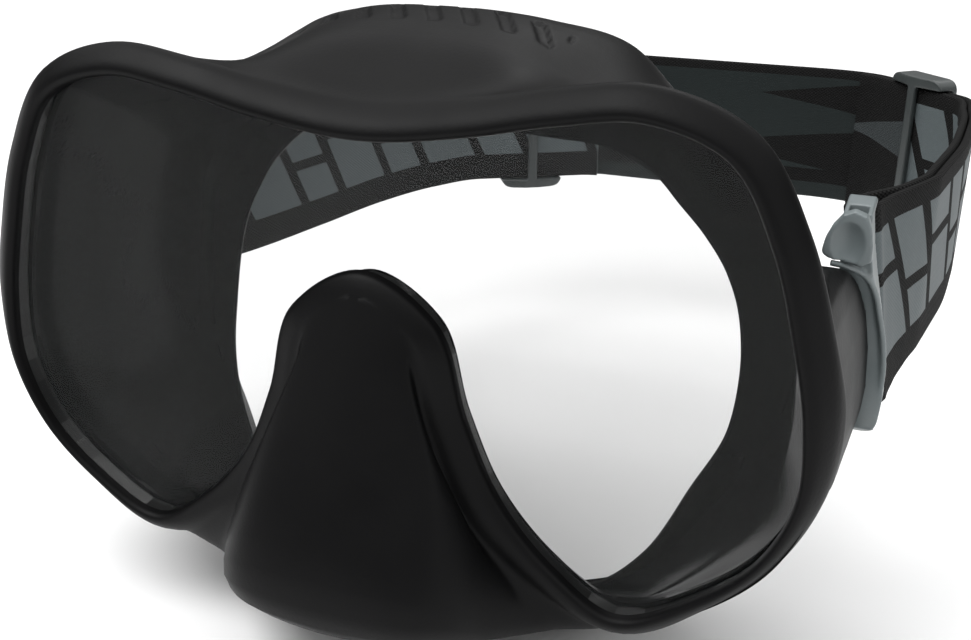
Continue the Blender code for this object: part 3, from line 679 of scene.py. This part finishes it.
def lobe_trim(rows, side, name):
    """Everything inside the middle of the wall, which a boss must not reach into."""
    sheet = outside_sheet(rows)
    first = (len(lip_rings(rows)) - 1) * LIP_STEPS
    middle = (sheet - facings(sheet) * WALL / 2)[first : first + 3 * WALL_STEPS + 1 : 3]
    beside = (rows[:, 0] * side > TRIM_FROM_X) & (np.abs(rows[:, 1]) < TRIM_HALF_Z)
    near = np.flatnonzero(beside)[::2]
    reach = np.array([0, TRIM_PAST_ENDS, 0])
    rings = [middle[0] - reach, *middle, middle[-1] + reach]
    body = bmesh.new()
    table = []
    for ring in rings:
        patch = ring[near]
        tube = np.vstack([patch, patch[::-1] - (side * TRIM_INWARD, 0, 0)])
        table.append([body.verts.new((x * MM, (y + LENS_Y) * MM, z * MM)) for x, y, z in tube])
    for ring, after in zip(table, table[1:]):
        for j, here in enumerate(ring):
            k = (j + 1) % len(ring)
            body.faces.new((here, after[j], after[k], ring[k]))
    body.faces.new(table[0])
    body.faces.new(table[-1])
    return finish_mesh(f"{name}_lobe_trim", body)


def make_skirt(finish):
    """The silicone moulding: the lofted body, a slotted boss on each side and the brow marks."""
    rows = around(COLUMNS)
    skirt = loft("silicone_skirt", skirt_rings(rows), len(outside_sheet(rows)))
    width = SLOT_X[1] - SLOT_X[0]
    middle = (SLOT_X[1] + SLOT_X[0]) / 2
    for side, name in SIDES:
        lobe = make_lobe(side, name)
        boolean(lobe, lobe_trim(rows, side, name), "DIFFERENCE")
        boolean(skirt, lobe, "UNION")
        slot = plate(f"{name}_slot", [slot_outline()], width, "X", (side * middle, 0, 0))
        boolean(skirt, slot, "DIFFERENCE")
    emboss(skirt)
    skirt.data.shade_smooth()
    skirt.data.set_sharp_from_angle(angle=math.radians(SHARP_RUBBER))
    return dress(skirt, finish, "mask", "silicone", "skirt")


def brow_marks(x, y, z):
    """How deep the row of slanted dashes on the brow is at a point, from 0 to 1."""
    depth = y - LENS_Y
    across = (x + BROW_SLANT * (depth - BROW_DEPTH)) / BROW_PITCH
    dash = np.abs(across - np.round(across)) * BROW_PITCH
    inside = 1 - smooth_step(BROW_DASH - MARK_BLUR, BROW_DASH + MARK_BLUR, dash)
    reach = BROW_LENGTH * (1 - (x / BROW_HALF) ** 2 * BROW_TAPER)
    inside *= 1 - smooth_step(reach - MARK_BLUR, reach + MARK_BLUR, abs(depth - BROW_DEPTH))
    ends = 1 - smooth_step(BROW_HALF - MARK_BLUR, BROW_HALF, abs(x))
    return inside * ends * (z > BROW_LOWEST)


def emboss(skirt):
    """Sinks the moulded marks into the brow, on a finer mesh there."""
    body = bmesh.new()
    body.from_mesh(skirt.data)
    low, high = np.array(BROW_BOX) * MM
    near = []
    for edge in body.edges:
        middle = (edge.verts[0].co + edge.verts[1].co) / 2
        if all(a < value < b for a, value, b in zip(low, middle, high)):
            near.append(edge)
    bmesh.ops.subdivide_edges(body, edges=near, cuts=MARK_CUTS, use_grid_fill=True)
    body.normal_update()
    moves = []
    for vertex in body.verts:
        x, y, z = vertex.co / MM
        facing = vertex.normal
        share = brow_marks(x, y, z) if facing.z > MARK_FACING else 0
        if share > LEAST_MARK:
            moves.append((vertex, facing * float(share) * MARK_DEPTH * MM))
    for vertex, step in moves:
        vertex.co -= step
    body.to_mesh(skirt.data)
    body.free()


def dress(piece, finish, body, slot, *nodes):
    """Gives a piece its material, the body it rides on and the nodes it stands for; slot is not
    used.
    """
    for one in finish if isinstance(finish, list) else [finish]:
        piece.data.materials.append(one)
    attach(piece, body)
    if nodes:
        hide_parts(*nodes)
    return piece


def yoke_outline():
    """The yoke from the side: hollowed round the boss, with round rear corners."""
    half = YOKE_ARC_HALF_ANGLE
    points = arc((PIVOT_Y, PIVOT_Z), YOKE_ARC_R, half, -half, 41)
    points += [(YOKE_CHIN[0], YOKE_CHIN[1] - YOKE_TOP), (YOKE_FRONT_Y, -YOKE_TOP)]
    corner = YOKE_CORNER
    points += arc((YOKE_REAR - corner, corner - YOKE_TOP), corner, -90, 0, 7)
    points += arc((YOKE_REAR - corner, YOKE_TOP - corner), corner, 0, 90, 7)
    return [*points, (YOKE_FRONT_Y, YOKE_TOP)]


def arm_outline():
    """The buckle's eye and arm from the side."""
    top = PIVOT_Z + ARM_HALF
    bottom = PIVOT_Z - ARM_HALF
    outline = arc((PIVOT_Y, PIVOT_Z), EYE_R, 90, 270, 31)
    front = PIVOT_Y + ARM_FROM
    rear = WINDOW_FRONT - 1
    return [*outline, (front, bottom), (rear, bottom), (rear, top), (front, top)]


def make_buckle(side, name, finish):
    """The swivelling buckle: an eye and arm in the boss's slot, and the yoke."""
    eye_x = SLOT_X[0] + GAP + BASE_THICK + GAP
    place = (side * YOKE_X, 0, 0)
    buckle = plate(f"{name}_buckle_body", [yoke_outline()], YOKE_THICK, "X", place)
    outline = [(side * x, z) for x, z in YOKE_PROFILE]
    profile = plate(f"{name}_yoke_profile", [outline], PROFILE_LENGTH, "Y", (0, 0, 0))
    arm_x = side * (eye_x + EYE_THICK / 2)
    arm = plate(f"{name}_arm", [arm_outline()], EYE_THICK, "X", (arm_x, 0, 0))
    half = STRAP_WIDTH / 2 + GAP
    through = (WINDOW_FRONT, WINDOW_REAR)
    window = side_block(f"{name}_window", side, (60, 100), through, (-half, half))
    pocket_y = (-30, TAB_PIN_Y + TAB_POCKET_BEHIND)
    pocket_z = (TAB_PIN_Z - TAB_POCKET_BELOW, 40)
    pocket = side_block(f"{name}_pocket", side, TAB_POCKET_X, pocket_y, pocket_z)
    span = span_x(side, *PIVOT_BORE_X)
    bore = rod(f"{name}_bore", PIN_R + RUNNING, span, (PIVOT_Y, PIVOT_Z), sides=64)
    boolean(buckle, profile, "INTERSECT")
    boolean(buckle, arm, "UNION")
    boolean(buckle, lip_bead(side, name), "UNION")
    for cutter in (window, pocket, bore):
        boolean(buckle, cutter, "DIFFERENCE")
    round_off(buckle, PLASTIC_VOXEL, YOKE_SMOOTHING)
    return dress(buckle, finish, f"{name}_fitting", "grey_plastic", f"{name}_buckle")


def ball(name, side):
    """The egg-shaped hollow for the thumb in the release tab."""
    x, y, z = SCOOP_CENTRE
    where = (side * x * MM, y * MM, z * MM)
    bpy.ops.mesh.primitive_uv_sphere_add(segments=40, ring_count=20, radius=MM, location=where)
    made = bpy.context.object
    made.name = name
    made.scale = SCOOP_SIZE
    return made


def lip_bead(side, name):
    """The bead along the buckle's edge, round the boss."""
    data = bpy.data.curves.new(f"{name}_lip", "CURVE")
    data.dimensions = "3D"
    data.bevel_depth = LIP_R * MM
    data.bevel_resolution = 4
    data.use_fill_caps = True
    line = data.splines.new("POLY")
    route = np.array(LIP_ROUTE, float)
    knots = chord_lengths(route)
    points = spline(knots, route, np.linspace(0, knots[-1], LIP_POINTS))
    line.points.add(len(points) - 1)
    for point, (x, y, z) in zip(line.points, points):
        point.co = (side * x * MM, y * MM, z * MM, 1)
    shape = bpy.data.objects.new(f"{name}_lip", data)
    bpy.context.scene.collection.objects.link(shape)
    return to_mesh(shape)


def make_tab(side, name, finish):
    """The sprung release tab that leans over the boss."""
    pin_at = (TAB_PIN_Y, TAB_PIN_Z)
    outline = [(side * x, z) for x, z in TAB_OUTLINE]
    tab = plate(f"{name}_tab_body", [outline], TAB_THICK, "Y", (0, TAB_Y, 0))
    reach = (TAB_Y, TAB_PIN_Y)
    height = (TAB_PIN_Z - TAB_KNUCKLE_HALF, TAB_PIN_Z + TAB_KNUCKLE_HALF)
    knuckle = side_block(f"{name}_knuckle", side, TAB_KNUCKLE_X, reach, height)
    ring = rod(f"{name}_knuckle_end", TAB_KNUCKLE_R, span_x(side, *TAB_KNUCKLE_X), pin_at)
    boolean(tab, ball(f"{name}_scoop", side), "DIFFERENCE")
    boolean(tab, knuckle, "UNION")
    boolean(tab, ring, "UNION")
    round_off(tab, PLASTIC_VOXEL, TAB_SMOOTHING)
    span = span_x(side, *TAB_BORE_X)
    bore = rod(f"{name}_tab_bore", TAB_PIN_R + RUNNING, span, pin_at)
    boolean(tab, bore, "DIFFERENCE")
    tab.data.shade_smooth()
    return dress(tab, finish, f"{name}_tab", "grey_plastic", f"{name}_release_tab")


def outer_layer():
    """The webbing's outer middle line seen from above, from the left bar to the right bar."""
    points = np.array([(x, depth + LENS_Y) for x, depth in ROUTE])
    knots = chord_lengths(points)
    slopes = np.gradient(points, knots, axis=0)
    slopes[0] = (0, 1)
    slopes[-1] = (0, -1)
    for i in STRAIGHT_FROM:
        slopes[i] = slopes[i + 1] = (points[i + 1] - points[i]) / (knots[i + 1] - knots[i])
    at = []
    for i in range(len(points) - 1):
        at += list(np.linspace(knots[i], knots[i + 1], CURVE_STEPS, endpoint=False))
    return spline(knots, points, [*at, knots[-1]], slopes)


def inward(line):
    """Directions towards the inside of the loop, at right angles to the line."""
    along = np.gradient(line, axis=0)
    along /= np.linalg.norm(along, axis=1)[:, None]
    return np.column_stack([-along[:, 1], along[:, 0]])


def inner_layer(line, length):
    """The layer that comes back inside the first part of line, from its bar to the tail."""
    walked = chord_lengths(line)
    step = LAYER_STEP + (2 * FOLD_R - LAYER_STEP) * (1 - smooth_step(*FOLD_OPENS, walked))
    shifted = line + inward(line) * step[:, None]
    keep = walked < length - 0.5
    end = [np.interp(length, walked, shifted[:, i]) for i in range(2)]
    return np.vstack([shifted[keep], [end]])


def slider_place(run):
    """The middle of a straight run and its direction, seen from above."""
    start, stop = (np.array([x, depth + LENS_Y]) for x, depth in ROUTE[run : run + 2])
    return (start + stop) / 2, (stop - start) / np.linalg.norm(stop - start)


def strap_path():
    """The webbing's whole middle line seen from above, and how much of it is the left tail."""
    line = outer_layer()
    walked = chord_lengths(line)
    reach = []
    for run in (LEFT_RUN, RIGHT_RUN):
        centre, along = slider_place(run)
        nearest = np.argmin(np.linalg.norm(line - centre, axis=1))
        reach.append(walked[nearest] + np.dot(centre - line[nearest], along))
    left = inner_layer(line, reach[0] + TAIL_PAST_SLIDER)
    mirrored = line[::-1] * (-1, 1)
    right = inner_layer(mirrored, walked[-1] - reach[1] + TAIL_PAST_SLIDER) * (-1, 1)
    left_fold = arc((BAR_X, BAR_Y), FOLD_R, 180, 360, FOLD_POINTS)[1:-1]
    right_fold = arc((-BAR_X, BAR_Y), FOLD_R, 180, 360, FOLD_POINTS)[1:-1]
    return np.vstack([left[::-1], left_fold, line, right_fold, right]), chord_lengths(left)[-1]


def strap_section():
    """Points round the webbing's section, (out of the loop, up): outer face first, then inner."""
    half = STRAP_WIDTH / 2
    thin = STRAP_THICK / 2
    rows = np.linspace(-half + WEBBING_EDGE, half - WEBBING_EDGE, WEBBING_ROWS)
    outer = [(thin, z) for z in rows]
    inner = [(-thin, z) for z in rows[::-1]]
    top = [(thin * 0.5, half), (-thin * 0.5, half)]
    bottom = [(-thin * 0.5, -half), (thin * 0.5, -half)]
    return outer + top + inner + bottom


def make_strap(print_finish, plain_finish):
    """One length of webbing: tail, fold, outer layer round the head, fold, tail."""
    path, left_tail = strap_path()
    outward = -inward(path)
    walked = chord_lengths(path) - left_tail
    section = strap_section()
    body = bmesh.new()
    layer = body.loops.layers.uv.new("strap")
    table = []
    for (x, y), (out_x, out_y) in zip(path, outward):
        ring = []
        for out, up in section:
            at_x = x + out_x * out
            at_y = y + out_y * out
            share = 1 - smooth_step(BAR_Y, LEAN_ENDS_Y, at_y)
            at_x -= np.sign(at_x) * LEAN * share * up
            ring.append(body.verts.new((at_x * MM, at_y * MM, up * MM)))
        table.append(ring)
    count = len(section)
    inner_from = WEBBING_ROWS + 1
    for i in range(len(table) - 1):
        for j in range(count):
            k = (j + 1) % count
            face = body.faces.new((table[i][j], table[i + 1][j], table[i + 1][k], table[i][k]))
            face.material_index = int(inner_from <= j < count - 2)
            heights = (section[j][1], section[j][1], section[k][1], section[k][1])
            lengths = (walked[i], walked[i + 1], walked[i + 1], walked[i])
            for corner, u, v in zip(face.loops, lengths, heights):
                corner[layer].uv = (u * MM, v * MM)
    for end in (table[0], table[-1]):
        body.faces.new(end)
    strap = finish_mesh("printed_webbing", body)
    strap.data.set_sharp_from_angle(angle=math.radians(SHARP_WEBBING))
    return dress(strap, [print_finish, plain_finish], "left_fitting", "webbing", "head_strap")


def slider_outline():
    """A tri-glide from one end of its bars: a rail's section, seen along z."""
    half = SLIDER_LENGTH / 2
    low = -STRAP_THICK / 2 - SLIDER_SLACK - SLIDER_DEPTH
    high = LAYER_STEP + STRAP_THICK / 2 + SLIDER_SLACK + SLIDER_DEPTH
    inner = SLIDER_BAR / 2 + SLIDER_BAR_FLARE
    rail = high - SLIDER_DEPTH
    return [(-half, low), (half, low), (half, rail), (inner, high), (-inner, high), (-half, rail)]


def rounded(half_x, half_z, radius):
    """A rectangle's outline with round corners."""
    points = []
    for start, (turn_x, turn_z) in enumerate(((1, 1), (-1, 1), (-1, -1), (1, -1))):
        centre = (turn_x * (half_x - radius), turn_z * (half_z - radius))
        points += arc(centre, radius, start * 90, start * 90 + 90, 6)
    return points


def make_slider(name, run, finish):
    """A tri-glide: two bars and rails outside the webbing, one bar inside it."""
    centre, along = slider_place(run)
    height = STRAP_WIDTH + 2 * (GAP + SLIDER_RAIL)
    slider = plate(f"{name}_slider_body", [slider_outline()], height, "Z", (0, 0, 0))
    outside = -STRAP_THICK / 2 - SLIDER_SLACK
    inside = LAYER_STEP + STRAP_THICK / 2 + SLIDER_SLACK
    far = SLIDER_LENGTH
    half = SLIDER_LENGTH / 2 - SLIDER_BAR
    wide = STRAP_WIDTH / 2 + GAP
    back = SLIDER_BAR / 2
    cutters = [
        block(f"{name}_window", (-half, -far, -wide), (half, inside, wide)),
        block(f"{name}_tunnel", (-far, outside, -wide), (far, inside, wide)),
        block(f"{name}_near_gap", (-far, outside + SLIDER_GAP_WALL, -wide), (-back, far, wide)),
        block(f"{name}_far_gap", (back, outside + SLIDER_GAP_WALL, -wide), (far, far, wide)),
    ]
    for cutter in cutters:
        boolean(slider, cutter, "DIFFERENCE")
    outline = rounded(SLIDER_LENGTH / 2, height / 2, SLIDER_CORNER)
    boolean(slider, plate(f"{name}_corners", [outline], 30, "Y", (0, 0, 0)), "INTERSECT")
    round_off(slider, PLASTIC_VOXEL, SLIDER_SMOOTHING)
    slider.location = (centre[0] * MM, centre[1] * MM, 0)
    slider.rotation_euler.z = math.atan2(along[1], along[0])
    apply_modifiers(slider)
    return dress(slider, finish, f"{name}_glide", "grey_plastic", f"{name}_slider")


class Graph:
    """A material and short ways to add its nodes."""

    def __init__(self, name, colour, roughness, metallic=0.0):
        self.material = bpy.data.materials.new(name)
        self.material.use_nodes = True
        self.nodes = self.material.node_tree.nodes
        self.links = self.material.node_tree.links
        self.shader = self.nodes["Principled BSDF"]
        self.put("Base Color", (*colour, 1))
        self.put("Roughness", roughness)
        self.put("Metallic", metallic)
        self.place = self.nodes.new("ShaderNodeTexCoord").outputs["Object"]

    def put(self, socket, value):
        """Sets one of the shader's inputs."""
        self.shader.inputs[socket].default_value = value

    def join(self, start, end):
        """Links an output to an input."""
        self.links.new(start, end)

    def noise(self, scale, detail=4.0, place=None):
        """A noise between 0 and 1."""
        made = self.nodes.new("ShaderNodeTexNoise")
        made.inputs["Scale"].default_value = scale
        made.inputs["Detail"].default_value = detail
        self.join(place or self.place, made.inputs["Vector"])
        return made.outputs["Fac"]

    def remap(self, value, low, high, to_low, to_high):
        """Moves a value from one range to another."""
        made = self.nodes.new("ShaderNodeMapRange")
        ranges = {"From Min": low, "From Max": high, "To Min": to_low, "To Max": to_high}
        for key, number in ranges.items():
            made.inputs[key].default_value = number
        self.join(value, made.inputs["Value"])
        return made.outputs["Result"]

    def math(self, kind, first, second=None):
        """One step of arithmetic on numbers or outputs."""
        made = self.nodes.new("ShaderNodeMath")
        made.operation = kind
        for socket, value in zip(made.inputs, (first, second)):
            if value is None:
                continue
            if isinstance(value, (int, float)):
                socket.default_value = value
            else:
                self.join(value, socket)
        return made.outputs["Value"]

    def mix(self, share, first, second):
        """A blend of two colours."""
        made = self.nodes.new("ShaderNodeMix")
        made.data_type = "RGBA"
        self.join(share, made.inputs["Factor"])
        for socket, value in ((made.inputs["A"], first), (made.inputs["B"], second)):
            if isinstance(value, tuple):
                socket.default_value = (*value, 1)
            else:
                self.join(value, socket)
        return made.outputs["Result"]

    def bump(self, height, distance, strength=1.0):
        """Gives the surface relief."""
        made = self.nodes.new("ShaderNodeBump")
        made.inputs["Distance"].default_value = distance
        made.inputs["Strength"].default_value = strength
        self.join(height, made.inputs["Height"])
        self.join(made.outputs["Normal"], self.shader.inputs["Normal"])


def silicone(name, roughness, shine):
    """Black liquid silicone with a faint mould texture: satin outside, polished inside."""
    graph = Graph(name, (0.003, 0.003, 0.0032), roughness)
    graph.put("Specular IOR Level", shine)
    cloud = graph.noise(60, 3)
    colour = graph.mix(cloud, (0.0024, 0.0024, 0.0026), (0.0036, 0.0036, 0.0038))
    graph.join(colour, graph.shader.inputs["Base Color"])
    gloss = graph.remap(cloud, 0.3, 0.7, roughness - 0.04, roughness + 0.04)
    graph.join(gloss, graph.shader.inputs["Roughness"])
    graph.bump(graph.noise(1400, 3), 0.00003)
    return graph.material


def glass():
    """Clear tempered glass with the faintest grey."""
    graph = Graph("tempered_glass", (0.012, 0.014, 0.014), 0.02)
    graph.put("Alpha", 0.15)
    smear = graph.noise(25, 2)
    graph.join(graph.remap(smear, 0.2, 0.8, 0.01, 0.04), graph.shader.inputs["Roughness"])
    return graph.material


def moulded(name, dark, light, roughness, grain):
    """Moulded plastic: a slight mottle, a fine spark-eroded grain and uneven gloss."""
    graph = Graph(name, light, roughness)
    cloud = graph.noise(120, 3)
    graph.join(graph.mix(cloud, dark, light), graph.shader.inputs["Base Color"])
    gloss = graph.remap(cloud, 0.3, 0.7, roughness - 0.05, roughness + 0.05)
    graph.join(gloss, graph.shader.inputs["Roughness"])
    graph.bump(graph.noise(grain, 2), 0.00002)
    return graph.material


def steel():
    """Stainless steel with fine turning marks."""
    graph = Graph("stainless_steel", (0.56, 0.56, 0.57), 0.28, 1.0)
    marks = graph.noise(2600, 2)
    graph.join(graph.remap(marks, 0.3, 0.7, 0.2, 0.36), graph.shader.inputs["Roughness"])
    graph.bump(marks, 0.00001)
    return graph.material


def webbing(name, pattern):
    """Woven webbing: black mesh with painted shade in the weave's hollows, inked where pattern
    says and in the colour it gives.
    """
    graph = Graph(name, (0.012, 0.012, 0.012), 0.8)
    graph.put("Specular IOR Level", 0.15)
    uv = graph.nodes.new("ShaderNodeUVMap")
    uv.uv_map = "strap"
    parts = graph.nodes.new("ShaderNodeSeparateXYZ")
    graph.join(uv.outputs["UV"], parts.inputs["Vector"])
    along, up = parts.outputs["X"], parts.outputs["Y"]
    ribs = graph.math("SINE", graph.math("MULTIPLY", along, 2 * math.pi / RIB_PITCH))
    threads = graph.math("SINE", graph.math("MULTIPLY", up, 2 * math.pi / THREAD_PITCH))
    weave = graph.math("MULTIPLY", ribs, threads)
    height = graph.remap(weave, -1, 1, 0, 1)
    # Painted shade: the black mesh is darker where the weave sinks and lighter where it rises.
    black = graph.mix(height, (0.003, 0.003, 0.003), (0.011, 0.011, 0.011))
    share, ink = pattern(graph, along, up)
    wear = graph.noise(900, 3)
    worn = graph.mix(wear, tuple(0.85 * part for part in ink), ink)
    graph.join(graph.mix(share, black, worn), graph.shader.inputs["Base Color"])
    graph.join(graph.remap(share, 0, 1, 0.85, 0.55), graph.shader.inputs["Roughness"])
    relief = graph.remap(share, 0, 1, 1.0, 0.2)
    graph.bump(graph.math("MULTIPLY", weave, relief), WEAVE_HEIGHT)
    return graph.material


def within(graph, value, centre, half):
    """1 where value is less than half away from centre."""
    away = graph.math("ABSOLUTE", graph.math("SUBTRACT", value, centre))
    return graph.math("LESS_THAN", away, half)


def between(graph, value, low, high):
    """1 where value lies between low and high."""
    above = graph.math("GREATER_THAN", value, low)
    return graph.math("MULTIPLY", above, graph.math("LESS_THAN", value, high))


def printed_pattern(graph, along, up):
    """Slanted grey bricks, long and short by turns, between a narrow border and a wide one."""
    slant = graph.math("ADD", along, graph.math("MULTIPLY", up, PANEL_SLANT))
    phase = graph.math("FRACT", graph.math("DIVIDE", slant, PANEL_PITCH))
    upright = [within(graph, phase, *joint) for joint in UPRIGHT_JOINTS]
    dark = graph.math("MAXIMUM", *upright)
    for centre, half, level in LEVEL_JOINTS:
        span = within(graph, phase, centre, half)
        joint = graph.math("MULTIPLY", span, within(graph, up, level, LEVEL_JOINT_HALF))
        dark = graph.math("MAXIMUM", dark, joint)
    inside = between(graph, up, *PRINT_UP)
    onward = graph.math("GREATER_THAN", along, PRINT_FROM)
    bricks = graph.math("SUBTRACT", 1.0, dark)
    share = graph.math("MULTIPLY", graph.math("MULTIPLY", inside, onward), bricks)
    wedge_half = graph.math("MULTIPLY", graph.math("ADD", along, -WEDGE_TIP), WEDGE_SLOPE)
    wedge = within(graph, up, WEDGE_UP, wedge_half)
    on_tail = graph.math("MULTIPLY", wedge, graph.math("SUBTRACT", 1.0, onward))
    faint = graph.math("MULTIPLY", on_tail, WEDGE_SHARE)
    return graph.math("MAXIMUM", share, faint), PRINT_INK


def plain_pattern(graph, along, up):
    """The back of the webbing: one dark panel, cut by two spear points near the left tail."""
    share = between(graph, up, *PANEL_UP)
    edge = graph.math("MULTIPLY", graph.math("LESS_THAN", up, PANEL_EDGE), PANEL_EDGE_SHARE)
    for centre, tip, slope in SPEARS:
        half = graph.math("MULTIPLY", graph.math("SUBTRACT", tip, along), slope)
        away = graph.math("ABSOLUTE", graph.math("SUBTRACT", up, centre))
        share = graph.math("MULTIPLY", share, graph.math("GREATER_THAN", away, half))
    return graph.math("MAXIMUM", share, edge), PLAIN_INK


def make_floor():
    """A plain pale floor under the mask."""
    low = min(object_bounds()[0][2], FLOOR_Z)
    bpy.ops.mesh.primitive_plane_add(size=FLOOR_SIZE, location=(0, 0, low - FLOOR_GAP))
    floor = bpy.context.object
    floor.name = "floor"
    graph = Graph("pale_floor", (0.93, 0.93, 0.93), 0.9)
    grain = graph.noise(8, 2)
    colour = graph.mix(grain, (0.92, 0.92, 0.92), (0.94, 0.94, 0.94))
    graph.join(colour, graph.shader.inputs["Base Color"])
    floor.data.materials.append(graph.material)


def light(name, place, size, power):
    """A soft rectangular light, turned towards the mask's middle."""
    data = bpy.data.lights.new(name, "AREA")
    data.shape = "RECTANGLE"
    data.size, data.size_y = size
    data.energy = power
    lamp = bpy.data.objects.new(name, data)
    lamp.location = place
    direction = -Vector(place)
    lamp.rotation_euler = direction.to_track_quat("-Z", "Y").to_euler()
    bpy.context.scene.collection.objects.link(lamp)


def studio():
    """A white surround for the camera, a dim one for the mask, three lights and a wide sun."""
    world = bpy.data.worlds.new("studio")
    world.use_nodes = True
    nodes = world.node_tree.nodes
    links = world.node_tree.links
    seen = nodes["Background"]
    seen.inputs["Color"].default_value = (1, 1, 1, 1)
    ambient = nodes.new("ShaderNodeBackground")
    ambient.inputs["Color"].default_value = (1, 1, 1, 1)
    ambient.inputs["Strength"].default_value = AMBIENT
    path = nodes.new("ShaderNodeLightPath")
    choice = nodes.new("ShaderNodeMixShader")
    links.new(path.outputs["Is Camera Ray"], choice.inputs["Fac"])
    links.new(ambient.outputs["Background"], choice.inputs[1])
    links.new(seen.outputs["Background"], choice.inputs[2])
    links.new(choice.outputs["Shader"], nodes["World Output"].inputs["Surface"])
    bpy.context.scene.world = world
    bpy.context.scene.view_settings.view_transform = "Standard"
    for lamp in LIGHTS:
        light(*lamp)
    sky = bpy.data.lights.new("overhead", "SUN")
    sky.energy = OVERHEAD_POWER
    sky.angle = math.radians(OVERHEAD_ANGLE)
    bpy.context.scene.collection.objects.link(bpy.data.objects.new("overhead", sky))


def camera():
    """The camera the photograph was taken with, as far as its perspective tells."""
    data = bpy.data.cameras.new("camera")
    data.sensor_width = SENSOR_WIDTH
    data.lens = FOCAL_LENGTH
    data.clip_start = NEAREST
    made = bpy.data.objects.new("camera", data)
    made.location = CAMERA_PLACE
    look = Vector(CAMERA_LOOK)
    roll = Quaternion(look, math.radians(CAMERA_ROLL))
    made.rotation_euler = (roll @ look.to_track_quat("-Z", "Y")).to_euler()
    bpy.context.scene.collection.objects.link(made)
    bpy.context.scene.camera = made


def refinish(node, finish):
    """Gives a node that stays its better material."""
    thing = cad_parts[node]
    thing.data.materials.clear()
    thing.data.materials.append(finish)


def main():
    """Dresses the frame, then sets up the studio and the camera."""
    rubber = [silicone("satin_silicone", 0.46, 0.1), silicone("polished_silicone", 0.16, 0.05)]
    grey = moulded("grey_plastic", (0.125, 0.146, 0.15), (0.15, 0.175, 0.18), 0.4, 1800)
    # A darker copy of the grey plastic for the sliders: painted shade, since they sit in shadow.
    dark = moulded("grey_plastic_painted_shade", (0.032, 0.038, 0.038), (0.04, 0.047, 0.047), 0.42, 1800)
    black = moulded("black_plastic", (0.012, 0.012, 0.012), (0.02, 0.02, 0.02), 0.35, 1500)
    metal = steel()
    make_skirt(rubber)
    refinish("lens", glass())
    refinish("lens_frame", black)
    for side, name in SIDES:
        make_buckle(side, name, grey)
        make_tab(side, name, grey)
        refinish(f"{name}_pivot_base", black)
        for steel_node in ("pivot_pin", "pivot_clip", "strap_bar", "tab_pin", "tab_spring"):
            refinish(f"{name}_{steel_node}", metal)
    make_strap(webbing("printed_face", printed_pattern), webbing("plain_face", plain_pattern))
    # The sliders take the darker copy of the grey plastic: painted shade.
    make_slider("left", LEFT_RUN, dark)
    make_slider("right", RIGHT_RUN, dark)
    make_floor()
    studio()
    camera()


main()
